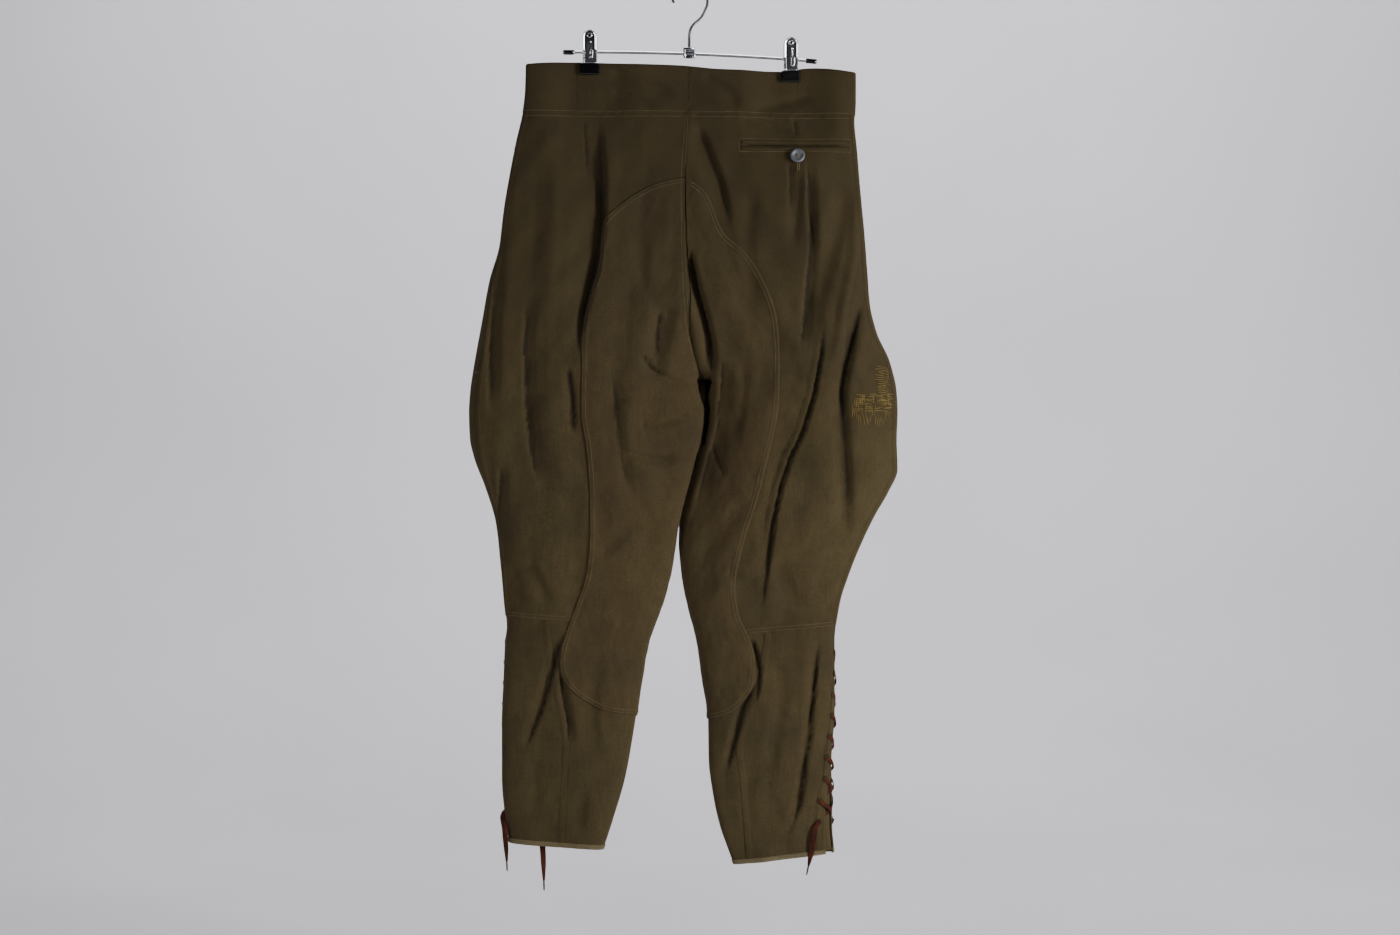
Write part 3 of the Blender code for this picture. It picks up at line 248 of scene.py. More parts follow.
def hang_lace_end(name, route):
    path = through(upright(route), 2.0)
    share = np.linspace(0, 1, len(path))
    narrow = np.clip((1 - share) * 4.5, 0, 1) ** 0.6
    spread_out = LACE_WIDTH * (1 + 0.3 * np.sin(math.pi * share))
    width = TAG_WIDTH + (spread_out - TAG_WIDTH) * narrow
    thick = TAG_WIDTH + (LACE_THICK - TAG_WIDTH) * narrow
    run = unit(np.gradient(path, axis=0))
    turn = np.radians(LACE_TURNS[name]) * ease(share)
    flat = unit(np.cross(run, (0.0, -1.0 if "back" in name else 1.0, 0.0)))
    wide = flat * np.cos(turn)[:, None] + np.cross(run, flat) * np.sin(turn)[:, None]
    points, faces = ribbon(path, wide, width, thick)
    lace = piece(name + "_flat", points, faces, "lace", "brown_lace", [name])
    tag_name = name.replace("end", "tag")
    rings = np.linspace(0.3, TAG_LENGTH + 0.3, 9)
    tag_path = path[-1] + run[-1] * rings[:, None]
    tag_width = TAG_WIDTH * np.interp(rings, [0, 1, TAG_LENGTH - 2, TAG_LENGTH + 0.3], [0.94, 1, 0.9, 0.45])
    points, faces = ribbon(tag_path, np.repeat(flat[-1:], 9, axis=0), tag_width, tag_width)
    tag = piece(tag_name + "_tube", points, faces, "tag", "brown_lace", [tag_name])
    length = float(steps_of(path).sum())
    return length


lace_lengths = {name: hang_lace_end(name, route) for name, route in LACE_ENDS.items()}
print("free lace, mm:", {name: round(length) for name, length in lace_lengths.items()})

# %% [markdown]
# The legs are tailored tubes, and a table gives each its outer and inner edge, its half depth, and
# how far the inner edge sways to the back or front, height by height. These are the sizes that the
# CAD part has, because the cloth has to lie on its walls.

# %% Sizes of the legs
WAIST_TOP = 107.0
WAIST_SEAM = 165.0
FORK = 505.0  # where the four seams of the crotch meet
FORK_Y = 8.0
FORK_RUN = 40.0  # below the fork, the drop in which its seams reach the inner edge
KNEE = {"left": 762.0, "right": 774.0}
HEM = {"left": 1027.0, "right": 1042.0}
SIGN = {"left": -1, "right": 1}
BAND = 2.4  # the waistband is several layers
BACK_SHARE = 1.1  # the back is fuller than the front
FRONT_SHARE = 0.9
CLIP_X = {"left": -118.0, "right": 119.0}
PINCH_FLAT = 17.0  # half width of the flat under a clip
PINCH_RUN = 46.0
PINCH_END = 132.0  # drop at which the pinch starts to open

Row = namedtuple("Row", "drop outer inner depth nose")

LEFT_ROWS = [
    Row(*row)
    for row in (
        # drop, outer edge x, inner edge x, half depth, inner edge y
        (107, -193, -1, 9, 0),
        (140, -194, -1, 10, 0),
        (165, -197, -1, 12, 0),
        (200, -205, -3, 15, 0),
        (270, -218, -5, 20, 0),
        (320, -225, -4, 24, 0),
        (362, -237, -3, 27, 0),
        (406, -245, -1, 29, 0),
        (467, -256, 11, 30, 0),
        (487, -259, 9, 30, -5),
        (515, -261, 15, 30, -9),
        (545, -260, 12, 30, -10),
        (572, -254, 5, 29, -10),
        (603, -242, -3, 29, -10),
        (647, -229, -14, 28, -8),
        (700, -223, -22, 27, -3),
        (739, -219, -32, 25, 0),
        (769, -216, -43, 24, 0),
        (786, -218, -49, 23, 0),
        (830, -220, -57, 20, 0),
        (883, -222, -65, 17, 0),
        (945, -222, -76, 15, 0),
        (1000, -217, -92, 13, 0),
        (1040, -210, -105, 12, 0),
    )
]

RIGHT_ROWS = [
    Row(*row)
    for row in (
        # drop, outer edge x, inner edge x, half depth, inner edge y
        (107, 195, -1, 9, 0),
        (146, 195, -1, 11, 0),
        (171, 194, -1, 13, 0),
        (206, 197, -3, 16, 0),
        (256, 201, -5, 20, 0),
        (307, 206, -5, 23, 0),
        (359, 210, -3, 26, 0),
        (386, 212, -2, 28, 0),
        (421, 220, 0, 29, 0),
        (457, 236, 8, 30, 1),
        (493, 244, 20, 30, 4),
        (515, 245, 17, 30, 9),
        (549, 244, 10, 30, 10),
        (583, 245, 1, 30, 10),
        (610, 234, -6, 29, 10),
        (638, 218, -11, 28, 8),
        (669, 203, -12, 27, 4),
        (706, 188, -9, 26, 1),
        (743, 176, -2, 24, 0),
        (786, 170, 9, 21, 0),
        (830, 170, 15, 19, 0),
        (869, 170, 21, 17, 0),
        (926, 167, 22, 15, 0),
        (966, 167, 27, 14, 0),
        (1003, 167, 35, 13, 0),
        (1029, 169, 44, 12, 0),
        (1055, 170, 54, 12, 0),
    )
]

# The seam down the middle of the back and of the front, above the fork: drop, x
CENTRE = [(107, -1), (165, -1), (250, -5), (330, -4), (380, -2), (419, 0), (450, 6), (478, 13), (505, 16)]

# How boxy the section is at its edges: drop, power of the superellipse
BOXINESS = [(107, 3.0), (250, 2.6), (400, 2.2), (700, 2.2), (800, 2.8), (1055, 3.2)]

# The waistband's top edge is wavy, and dips to the wearer's right: x, drop
WAIST_EDGE = [(-195, 105), (-131, 103), (-60, 106), (-11, 108), (35, 112), (106, 114), (142, 110), (195, 115)]

# How the cloth's level lines tilt: drop, slope
TILTS = {
    "left": [(165, 0.010), (260, 0.0), (650, 0.0), (762, 0.07), (1055, 0.075)],
    "right": [(165, 0.010), (260, 0.0), (650, 0.0), (774, -0.08), (1055, -0.117)],
}
TILT_CENTRE_FROM = 450  # below this a leg tilts about its own middle

# Where the side seam lies, as a distance round the outer edge towards the back: drop, distance
SIDE_SEAM = {
    "left": [(165, 2), (290, 3), (400, 14), (540, 16), (640, 6), (762, 4)],
    "right": [(165, 3), (300, 5), (460, 7), (600, 7), (774, 4)],
}

# The seam down the back of the calf: drop, x
CALF_SEAM = {
    "left": [(762, -163), (808, -159), (840, -152), (873, -145), (901, -141), (958, -144), (1040, -148)],
    "right": [(774, 87), (812, 82), (840, 77), (875, 62), (907, 54), (942, 58), (976, 61), (1055, 67)],
}

# The lacing slit's two edges, as distances round the outer edge, towards the front when positive
SLIT_BACK = {
    "left": [(762, 14), (880, 15), (1040, 18)],
    "right": [(774, 4), (829, 3), (856, 0), (907, -3), (953, -7), (976, -13), (1055, -16)],
}
SLIT_FRONT = {
    "left": [(762, 20), (880, 22), (1040, 28)],
    "right": [(774, 10), (829, 9), (856, 7), (907, 5), (953, 2), (976, -3), (1055, -5)],
}


def column(rows, name):
    return [(row.drop, getattr(row, name)) for row in rows]


ROWS = {"left": LEFT_ROWS, "right": RIGHT_ROWS}
OUTER = {leg: column(ROWS[leg], "outer") for leg in ROWS}
INNER = {leg: column(ROWS[leg], "inner") for leg in ROWS}
DEPTH = {leg: column(ROWS[leg], "depth") for leg in ROWS}
NOSE = {leg: column(ROWS[leg], "nose") for leg in ROWS}
print("leg rows:", len(LEFT_ROWS), "and", len(RIGHT_ROWS))

# %% [markdown]
# At any height the cloth runs from the back seam over the back, round the outer edge and over the
# front to the front seam. A squashed oval, boxy at its edges, gives that path. Between the legs the
# back seam dives inwards, as it does when breeches hang empty, and the clips press both layers
# together. Distances round the path are measured from the outer edge, and the back is negative.

# %% The path round a leg
STEPS = 129
LEAD_STEPS = 25
DIVE_FROM, DIVE_TO = 330.0, 470.0  # the back seam sinks between the legs
FRONT_DIVE_FROM = 395.0


def middle(leg, level):
    return (curve(OUTER[leg], level) + curve(INNER[leg], level)) / 2


def drop_at(leg, level, x):
    """The drop of the point at x on a level line, which tilts, and is wavy along the waist."""
    about = 0.0 if level < TILT_CENTRE_FROM else middle(leg, level)
    plain = level + curve(TILTS[leg], level) * (x - about)
    if level >= WAIST_SEAM:
        return plain
    share = (level - WAIST_TOP) / (WAIST_SEAM - WAIST_TOP)
    edge = curve(WAIST_EDGE, x)
    seam = WAIST_SEAM + curve(TILTS[leg], WAIST_SEAM) * x
    return edge + (seam - edge) * share


def pinch(level, x):
    """How far the clips close the two layers, from 0, open, to 1."""
    closed = np.zeros(np.shape(x))
    for clip in CLIP_X.values():
        aside = np.abs(x - clip)
        closed = np.maximum(closed, 1 - ease((aside - PINCH_FLAT) / PINCH_RUN))
    return closed * (1 - ease((level - PINCH_END) / 100.0))


def seam_depths(leg, level):
    """y of the back seam and of the front seam."""
    depth = curve(DEPTH[leg], level)
    back, front = -depth * BACK_SHARE, depth * FRONT_SHARE
    if level < FORK:
        dive = np.clip((level - DIVE_FROM) / (DIVE_TO - DIVE_FROM), 0, 1)
        back *= (1 - dive**2.2) ** (1 / 1.6)
        back += FORK_Y * ease((level - DIVE_TO) / (FORK - DIVE_TO))
        rise = np.clip((level - FRONT_DIVE_FROM) / (FORK - FRONT_DIVE_FROM), 0, 1)
        front += (FORK_Y - front) * (1 - (1 - rise**2.2) ** (1 / 1.6))
        return back, front
    join = FORK_Y + (curve(NOSE[leg], level) - FORK_Y) * ease((level - FORK) / FORK_RUN)
    return join, join


Path = namedtuple("Path", "x y weight arc lead tip")


def path_round(leg, level):
    """x, y, how freely the cloth folds, and the distance round, along the path at this level."""
    sign = SIGN[leg]
    depth = curve(DEPTH[leg], level)
    half = abs(curve(OUTER[leg], level) - curve(INNER[leg], level)) / 2
    tilt = curve(TILTS[leg], level) if level >= TILT_CENTRE_FROM else 0.0
    outer = curve(OUTER[leg], level + sign * tilt * half)
    inner = curve(INNER[leg], level - sign * tilt * half)
    back_seam, front_seam = seam_depths(leg, level)
    centre = curve(CENTRE, level)
    if level < FORK:
        back_x = front_x = centre
        nose_x = inner if level >= DIVE_TO else centre
        nose_y = curve(NOSE[leg], level) if level >= DIVE_TO else back_seam
    else:
        share = ease((level - FORK) / FORK_RUN)
        back_x = front_x = centre * (1 - share) + inner * share
        nose_x, nose_y = inner, curve(NOSE[leg], level)
    power = curve(BOXINESS, level)
    across = -np.cos(np.linspace(0, math.pi, STEPS))
    swell = np.maximum(1 - np.abs(across) ** power, 0) ** (1 / power)
    full_back, full_front = -depth * BACK_SHARE, depth * FRONT_SHARE
    x_back = (nose_x + outer) / 2 + (outer - nose_x) / 2 * across
    y_back = np.where(across < 0, nose_y + (full_back - nose_y) * swell, full_back * swell)
    across, swell = across[::-1], swell[::-1]
    x_front = (front_x + outer) / 2 + (outer - front_x) / 2 * across
    y_front = np.where(across < 0, front_seam + (full_front - front_seam) * swell, full_front * swell)
    turn = np.linspace(0, math.pi / 2, LEAD_STEPS)
    x_lead = back_x + (nose_x - back_x) * np.sin(turn)
    y_lead = nose_y + (back_seam - nose_y) * np.cos(turn)
    lead = LEAD_STEPS - 1 if math.hypot(nose_x - back_x, nose_y - back_seam) > 0.5 else 0
    x = np.concatenate([x_lead[:lead], x_back, x_front[1:]])
    y = np.concatenate([y_lead[:lead], y_back, y_front[1:]])
    tip = lead + STEPS - 1
    arc = np.concatenate([[0], np.cumsum(np.hypot(np.diff(x), np.diff(y)))])
    full = np.where(np.arange(len(y)) < tip, full_back, full_front)
    weight = np.clip(np.where(full * y > 0, y / full, 0) * 1.3 - 0.1, 0, 1)
    closed = pinch(level, x)
    least = np.sign(y) * (BAND + 0.15)
    y = np.where(np.abs(y) > BAND, y * (1 - closed) + least * closed, y)
    return Path(x, y, weight, arc - arc[tip], lead, tip)


test = path_round("left", 600)
print("round the left thigh, mm:", round(test.arc[-1] - test.arc[0]))

# %% [markdown]
# Folds make the picture. Each one is a line down the cloth that presses a trough in or, with a
# negative depth, raises a ridge. The two sides of a fold are rarely alike, so each has its own
# width: soft where the cloth rolls over, sharp where it tucks under. Troughs that meet near the
# crotch pull the seat into the fork, and long ones run down each thigh from the clips.

# %% Where the folds are
Fold = namedtuple("Fold", "left right depth path")  # widths to each side as seen, depth inwards

BACK_FOLDS = {
    "left": [
        Fold(24, 7, 8, ((-110, 169), (-105, 242), (-105, 301), (-113, 354), (-126, 405), (-132, 450))),
        Fold(9, 3, 6, ((-105, 225), (-101, 290), (-106, 335), (-116, 380), (-126, 416), (-131, 446))),
        Fold(26, 22, 4, ((-130, 190), (-126, 280), (-134, 360))),
        Fold(8, 3.5, 4.5, ((-142, 462), (-137, 496), (-135, 545))),
        Fold(26, 18, 5.5, ((-178, 195), (-182, 277), (-188, 384), (-189, 502), (-182, 572), (-164, 640))),
        Fold(4, 10, 3.5, ((-190, 380), (-192, 450), (-190, 520), (-182, 575), (-170, 620))),
        Fold(5, 10, 6.5, ((-226, 320), (-230, 395), (-233, 443), (-231, 530))),
        Fold(4, 9, 5.5, ((-219, 575), (-223, 625), (-227, 665))),
        Fold(8, 7, -3, ((-240, 385), (-245, 470), (-247, 532), (-244, 583), (-230, 648))),
        Fold(16, 10, 4, ((-24, 385), (-33, 430), (-42, 484))),
        Fold(7, 3, 3, ((-34, 398), (-38, 425), (-38, 450))),
        Fold(9, 3.5, 4.5, ((-58, 446), (-44, 466), (-22, 478), (0, 486))),
        Fold(7, 3, 3.5, ((-62, 530), (-38, 530), (-14, 524), (4, 514))),
        Fold(9, 3.5, 4.5, ((-74, 562), (-46, 569), (-16, 570))),
        Fold(14, 16, -3.5, ((-76, 500), (-73, 550), (-60, 582))),
        Fold(6, 8, 3, ((-88, 470), (-84, 520), (-78, 570), (-70, 620))),
        Fold(10, 9, 3, ((-192, 690), (-180, 714), (-163, 742))),
        Fold(20, 16, 3, ((-204, 690), (-206, 720), (-200, 752))),
        Fold(12, 10, 2.5, ((-60, 640), (-88, 668), (-112, 684))),
        Fold(10, 2.4, 5, ((-148, 774), (-156, 800), (-163, 828), (-175, 867), (-187, 896), (-196, 916))),
        Fold(2.4, 8, 5, ((-153, 818), (-149, 846), (-144, 873), (-141, 906))),
        Fold(12, 9, 3, ((-108, 800), (-112, 840), (-116, 880), (-112, 930))),
        Fold(10, 8, 2.5, ((-178, 920), (-184, 950), (-182, 990))),
        Fold(9, 7, 2, ((-124, 960), (-130, 990), (-128, 1012))),
        Fold(10, 8, 2.0, ((-52, 255), (-60, 300), (-56, 350), (-44, 395))),
        Fold(2.2, 2.2, 1.6, ((-125, 172), (-122, 205), (-120, 237))),
        Fold(10, 4, 3.6, ((-96, 113), (-50, 128), (-14, 144))),
        Fold(9, 4, 3.2, ((-94, 137), (-66, 146), (-36, 156))),
    ],
    "right": [
        Fold(2.4, 2.4, 5.5, ((54, 203.3), (125, 203.3), (193, 203.3))),
        Fold(2.6, 9, 6.5, ((138, 218), (140, 266), (142, 321), (138, 363), (134, 407), (130, 452))),
        Fold(3, 5, 2.5, ((117, 220), (118, 250), (117, 284))),
        Fold(9, 6, 3, ((129, 230), (125, 283), (121, 330))),
        Fold(15, 12, 5.5, ((190, 240), (177, 283), (160, 339), (146, 389), (138, 440))),
        Fold(16, 2.6, 6.5, (
            (156, 410), (153, 448), (145, 494), (132, 538), (117, 569), (106, 602), (98, 641), (90, 700),
            (82, 756),
        )),
        Fold(4, 3.5, -2.4, (
            (153, 417), (149, 448), (141, 494), (128, 538), (113, 569), (102, 602), (94, 641), (86, 692),
        )),
        Fold(18, 12, 4, ((128, 440), (120, 500), (103, 560), (88, 606))),
        Fold(13, 8, 6.5, (
            (201, 380), (193, 414), (186, 445), (179, 473), (176, 497), (178, 538), (182, 589), (184, 641),
            (183, 690),
        )),
        Fold(7, 2.4, 4, ((202, 384), (192, 424), (184, 456), (178, 490), (179, 530))),
        Fold(7, 5, -4, ((200, 250), (193, 336), (180, 400), (177, 430), (168, 470))),
        Fold(18, 7, 7, ((6, 176), (20, 212), (33, 245), (41, 279), (44, 306))),
        Fold(10, 4.5, 13, ((-2, 325), (8, 372), (18, 405), (25, 437), (26, 478))),
        Fold(2.4, 17, 7, ((40, 452), (36, 500), (34, 528), (26, 560), (13, 607), (0, 652))),
        Fold(9, 7, 2.5, ((66, 455), (60, 510), (52, 560))),
        Fold(2.4, 5, 3, ((25, 550), (33, 574), (42, 596))),
        Fold(13, 12, 3, ((67, 615), (32, 665), (11, 692))),
        Fold(6, 6, 3, ((160, 750), (168, 738), (180, 724))),
        Fold(9, 8, 2.5, ((42, 700), (60, 716), (80, 720))),
        Fold(13, 10, 2.5, ((100, 690), (112, 720), (128, 750))),
        Fold(8, 2.6, 4.5, ((72, 780), (79, 803), (82, 819), (81, 837), (76, 860))),
        Fold(8, 2.4, 5, ((78, 832), (63, 862), (58, 883), (51, 910), (42, 938))),
        Fold(8, 2.4, 5.5, (
            (152, 782), (148, 806), (145, 846), (140, 896), (133, 942), (129, 974), (121, 998),
            (112, 1022),
        )),
        Fold(10, 9, 2.5, ((104, 800), (108, 850), (98, 900), (92, 950))),
        Fold(9, 8, 2.2, ((70, 940), (66, 975), (72, 1010))),
        Fold(10, 9, 2.2, ((74, 262), (66, 310), (70, 356), (80, 400))),
        Fold(2.4, 2.4, 1.6, ((122, 172), (126, 192))),
        Fold(10, 4, 3.4, ((72, 160), (106, 150), (146, 143))),
        Fold(10, 5, 3.0, ((14, 116), (40, 134), (62, 156))),
        Fold(9, 3, 3, ((58, 168), (90, 176), (130, 190))),
    ],
}

FRONT_FOLDS = {
    "left": [
        Fold(26, 20, 5.5, ((-96, 190), (-104, 300), (-118, 420), (-120, 520))),
        Fold(9, 6, 3, ((-98, 250), (-104, 320), (-114, 400))),
        Fold(16, 20, 6, ((-176, 300), (-196, 400), (-204, 500), (-190, 600), (-170, 690))),
        Fold(8, 6, 3, ((-152, 240), (-160, 330), (-162, 410))),
        Fold(16, 14, 6, ((-20, 430), (-48, 480), (-84, 540))),
        Fold(7, 6, 3, ((-30, 470), (-62, 490), (-100, 500))),
        Fold(20, 16, 4, ((-40, 600), (-90, 640), (-130, 700))),
        Fold(8, 8, 2.5, ((-150, 660), (-166, 710), (-158, 752))),
        Fold(16, 13, 4, ((-120, 790), (-136, 850), (-150, 930))),
        Fold(8, 7, 3, ((-90, 800), (-98, 860), (-92, 930))),
    ],
    "right": [
        Fold(20, 24, 5.5, ((92, 200), (104, 310), (110, 430), (98, 540))),
        Fold(7, 9, 3, ((96, 240), (106, 330), (110, 410))),
        Fold(20, 15, 6.5, ((170, 290), (186, 380), (194, 480), (176, 580), (150, 680))),
        Fold(7, 8, 3, ((150, 230), (156, 320), (166, 400))),
        Fold(14, 16, 6, ((36, 420), (60, 470), (88, 520))),
        Fold(6, 7, 3, ((40, 462), (66, 486), (100, 498))),
        Fold(17, 20, 4, ((30, 600), (70, 650), (110, 720))),
        Fold(8, 8, 2.5, ((140, 670), (146, 716), (136, 760))),
        Fold(14, 15, 4, ((70, 800), (84, 860), (96, 950))),
        Fold(7, 8, 3, ((120, 800), (126, 860), (118, 940))),
    ],
}
print("folds:", sum(len(folds) for side in (BACK_FOLDS, FRONT_FOLDS) for folds in side.values()))

# %% [markdown]
# A fold's push fades in and out along its line and falls off as a smooth bell to each side. Between
# the folds, cloth that has hung for years is never flat, so slow random swells go over all of it,
# and close ripples gather where stitching has drawn it up. All of it comes from fixed seeds.

# %% Press in the folds
MOUTH = np.array([  # x, drop and half width of the gap that the slack seat leaves under the fork
    (17, 478, 8.5), (16.5, 490, 7), (17.5, 498, 3), (20, 512, 3), (18.5, 534, 2.6), (16, 550, 1.6),
])
MOUTH_DEPTH = 26.0  # how far the cloth is pressed in there
FOLD_REACH = 1.5  # where a fold's bell ends, as a share of its width


def mouth_share(x, drop):
    """1 inside the gap under the fork, and 0 outside it."""
    middle, half = (np.interp(drop, MOUTH[:, 1], MOUTH[:, k]) for k in (0, 2))
    inside = ease((half - np.abs(x - middle)) / 3.5 + 0.5)
    return inside * ease((drop - MOUTH[0, 1]) / 4 + 1) * ease((MOUTH[-1, 1] - drop) / 6 + 1)


def push(folds, x, drop):
    """How far the folds press the cloth in at these points, in millimetres."""
    total = np.zeros(np.shape(x))
    for fold in folds:
        path = np.array(fold.path, float)
        reach = FOLD_REACH * max(fold.left, fold.right)
        low, high = path.min(axis=0) - reach, path.max(axis=0) + reach
        near = (x > low[0]) & (x < high[0]) & (drop > low[1]) & (drop < high[1])
        if not near.any():
            continue
        px, pd = x[near], drop[near]
        lengths = np.hypot(*np.diff(path, axis=0).T)
        run = np.concatenate([[0], np.cumsum(lengths)])
        nearest = np.full(px.shape, np.inf)
        along, side = np.zeros(px.shape), np.zeros(px.shape)
        for (x0, d0), (x1, d1), length, before in zip(path[:-1], path[1:], lengths, run):
            t = np.clip(((px - x0) * (x1 - x0) + (pd - d0) * (d1 - d0)) / length**2, 0, 1)
            off_x, off_d = px - x0 - t * (x1 - x0), pd - d0 - t * (d1 - d0)
            away = np.hypot(off_x, off_d)
            closer = away < nearest
            along = np.where(closer, before + t * length, along)
            side = np.where(closer, ((d1 - d0) * off_x - (x1 - x0) * off_d) / length, side)
            nearest = np.minimum(nearest, away)
        share = along / run[-1]
        fade = ease(share / 0.2 + 0.12) * ease((1 - share) / 0.3 + 0.12)
        lean = ease(0.5 + side / 6.0)
        width = fold.left * (1 - lean) + fold.right * lean
        bell = 0.5 + 0.5 * np.cos(math.pi * np.clip(nearest / (FOLD_REACH * width), 0, 1))
        total[near] += fold.depth * fade * bell
    return total


def swells(x, drop, seed, waves, shortest, longest):
    """Smooth random height of about -1 to 1, in waves that run more across the cloth than down it."""
    rng = np.random.default_rng(seed)
    total = np.zeros(np.shape(x))
    for _ in range(waves):
        length = rng.uniform(shortest, longest)
        angle = rng.uniform(-1.1, 1.1)
        phase = rng.uniform(0, math.tau)
        total += np.sin(math.tau / length * (x * math.cos(angle) + drop * 0.6 * math.sin(angle)) + phase)
    return total / math.sqrt(waves)


left_push = push(BACK_FOLDS["left"], np.array([-105.0]), np.array([280.0]))[0]
print("push of the left fold, mm:", round(left_push, 1))

# %% [markdown]
# Each leg becomes one fine net of points, 1.6 millimetres apart down the leg, that every cut piece
# is read from. So neighbouring pieces share each fold, and what is sewn on follows the cloth.

# %% Nets of points
NET_STEP = 1.6
NET_COLUMNS = 181  # from the back seam to the outer edge, and again to the front seam
Net = namedtuple("Net", "levels starts ends points outward bend")


def near_seams(leg, level, arc, start, end):
    """1 right at a stitched seam, and 0 from 12 mm away."""
    side = np.abs(arc + curve(SIDE_SEAM[leg], level))
    away = np.minimum(np.minimum(arc - start, end - arc), side)
    away = np.minimum(away, np.abs(level - KNEE[leg]))
    away = np.minimum(away, np.abs(level - WAIST_SEAM))
    return 1 - ease(away / 12.0)


def make_net(leg):
    levels = np.arange(WAIST_TOP, HEM[leg] + NET_STEP / 2, NET_STEP)
    shares = np.concatenate([np.linspace(-1, 0, NET_COLUMNS), np.linspace(0, 1, NET_COLUMNS)[1:]])
    back = np.arange(len(shares)) < NET_COLUMNS - 1
    x, y, drop, weight, arcs, starts, ends, seams = [], [], [], [], [], [], [], []
    for level in levels:
        path = path_round(leg, level)
        arc = np.where(back, -shares * path.arc[0], shares * path.arc[-1])
        x.append(np.interp(arc, path.arc, path.x))
        y.append(np.interp(arc, path.arc, path.y))
        weight.append(np.interp(arc, path.arc, path.weight))
        drop.append(drop_at(leg, level, x[-1]))
        seams.append(near_seams(leg, level, arc, path.arc[0], path.arc[-1]))
        starts.append(path.arc[0])
        ends.append(path.arc[-1])
        arcs.append(arc)
    x, y, drop, weight, arcs, seams = map(np.array, (x, y, drop, weight, arcs, seams))
    pressed = np.where(back, push(BACK_FOLDS[leg], x, drop), -push(FRONT_FOLDS[leg], x, drop))
    calm = 1 - 0.75 * ease((200 - drop) / 60)
    seed = 11 if leg == "left" else 12
    loose = swells(arcs, drop, seed, 9, 34, 95) * 1.15 + swells(arcs, drop, seed + 10, 8, 14, 34) * 0.28
    puckers = swells(arcs * 0.8, drop * 1.6, seed + 20, 7, 7, 15) * 0.32 * seams
    inwards = np.where(back, 1, -1) * np.clip(weight, 0.0, 1)
    y = y + pressed * weight + (loose * calm * (1 - 0.6 * seams) + puckers) * inwards
    gap = np.where(back, mouth_share(x, drop), 0.0)
    y = np.where(back, np.minimum(y + MOUTH_DEPTH * gap, np.maximum(y, 3.0)), y)
    points = np.stack([x, y, -drop], axis=-1)
    across = np.gradient(points, axis=1)
    down = np.gradient(points, axis=0)
    outward = unit(-SIGN[leg] * np.cross(across, down))
    # The gap under the fork gets a full crease value, so the cloth material paints full shade there: painted
    # shade in the recess.
    bend = np.maximum(bend_of(x, y, back), gap)
    return Net(levels, np.array(starts), np.array(ends), points, outward, bend)


def bend_of(x, y, back):
    """How hollow the cloth is at each point, from -1 on a ridge to 1 in a crease."""
    depth = np.where(back, y, -y)
    hollow = np.zeros(depth.shape)
    for reach in (1, 3):
        sides = np.zeros(depth.shape)
        sides[:, reach:-reach] = depth[:, reach:-reach] - (depth[:, : -2 * reach] + depth[:, 2 * reach :]) / 2
        flat = np.zeros(depth.shape)
        flat[:, reach:-reach] = np.abs(x[:, : -2 * reach] - x[:, 2 * reach :])
        hollow += np.where(flat > 2.2 * reach * 0.6, sides / (0.9 * reach), 0.0)
    return np.clip(hollow, -1, 1)


NETS = {leg: make_net(leg) for leg in ROWS}
print("net points:", {leg: net.points.shape[:2] for leg, net in NETS.items()})

# %% [markdown]
# Two helpers read a net. One gives points on the cloth, lifted off it by any height, at a level and
# a distance round. The other finds the level and the distance of a place seen from behind or from
# the front, which is how patches, pockets and stitching are laid out.

# %% Read a net
def on_net(leg, level, arc, lift=0.0):
    """Points and outward directions at these levels and distances round the leg."""
    net = NETS[leg]
    level, arc = np.broadcast_arrays(np.asarray(level, float), np.asarray(arc, float))
    row = np.clip((level - net.levels[0]) / NET_STEP, 0, len(net.levels) - 1.001)
    start = np.interp(level, net.levels, net.starts)
    end = np.interp(level, net.levels, net.ends)
    share = np.where(arc < 0, arc / -start, arc / end)
    col = np.clip((share + 1) * (NET_COLUMNS - 1), 0, 2 * NET_COLUMNS - 2.001)
    i, j = row.astype(int), col.astype(int)
    s, t = (row - i)[..., None], (col - j)[..., None]

    def mixed(grid):
        upper = grid[i, j] * (1 - t) + grid[i, j + 1] * t
        lower = grid[i + 1, j] * (1 - t) + grid[i + 1, j + 1] * t
        return upper * (1 - s) + lower * s

    points, outward = mixed(net.points), unit(mixed(net.outward))
    return points + outward * np.asarray(lift, float)[..., None], outward


def bend_at(leg, level, arc):
    """How hollow the cloth is at these levels and distances."""
    net = NETS[leg]
    row = np.clip((level - net.levels[0]) / NET_STEP, 0, len(net.levels) - 1).round().astype(int)
    start, end = np.interp(level, net.levels, net.starts), np.interp(level, net.levels, net.ends)
    share = np.where(arc < 0, arc / -start, arc / end)
    col = np.clip((share + 1) * (NET_COLUMNS - 1), 0, 2 * NET_COLUMNS - 2)
    return net.bend[row, col.round().astype(int)]


PATHS = {}


def cached_path(leg, level):
    key = leg, round(float(level))
    if key not in PATHS:
        PATHS[key] = path_round(*key)
    return PATHS[key]


def arc_at_x(leg, level, x, front=False):
    """The distance round to the point over x."""
    path = cached_path(leg, level)
    stretch = slice(path.tip, None) if front else slice(path.lead, path.tip + 1)
    places, arcs = path.x[stretch] * SIGN[leg], path.arc[stretch]
    if front:
        places, arcs = places[::-1], arcs[::-1]
    return float(np.interp(x * SIGN[leg], places, arcs))


def seat_of(leg, x, drop, front=False):
    """(level, distance round) of a place seen from behind, or from the front."""
    level = drop
    for _ in range(4):
        level = level + drop - float(drop_at(leg, level, x))
    return level, arc_at_x(leg, level, x, front)


def ends_of(leg, level):
    net = NETS[leg]
    return float(np.interp(level, net.levels, net.starts)), float(np.interp(level, net.levels, net.ends))


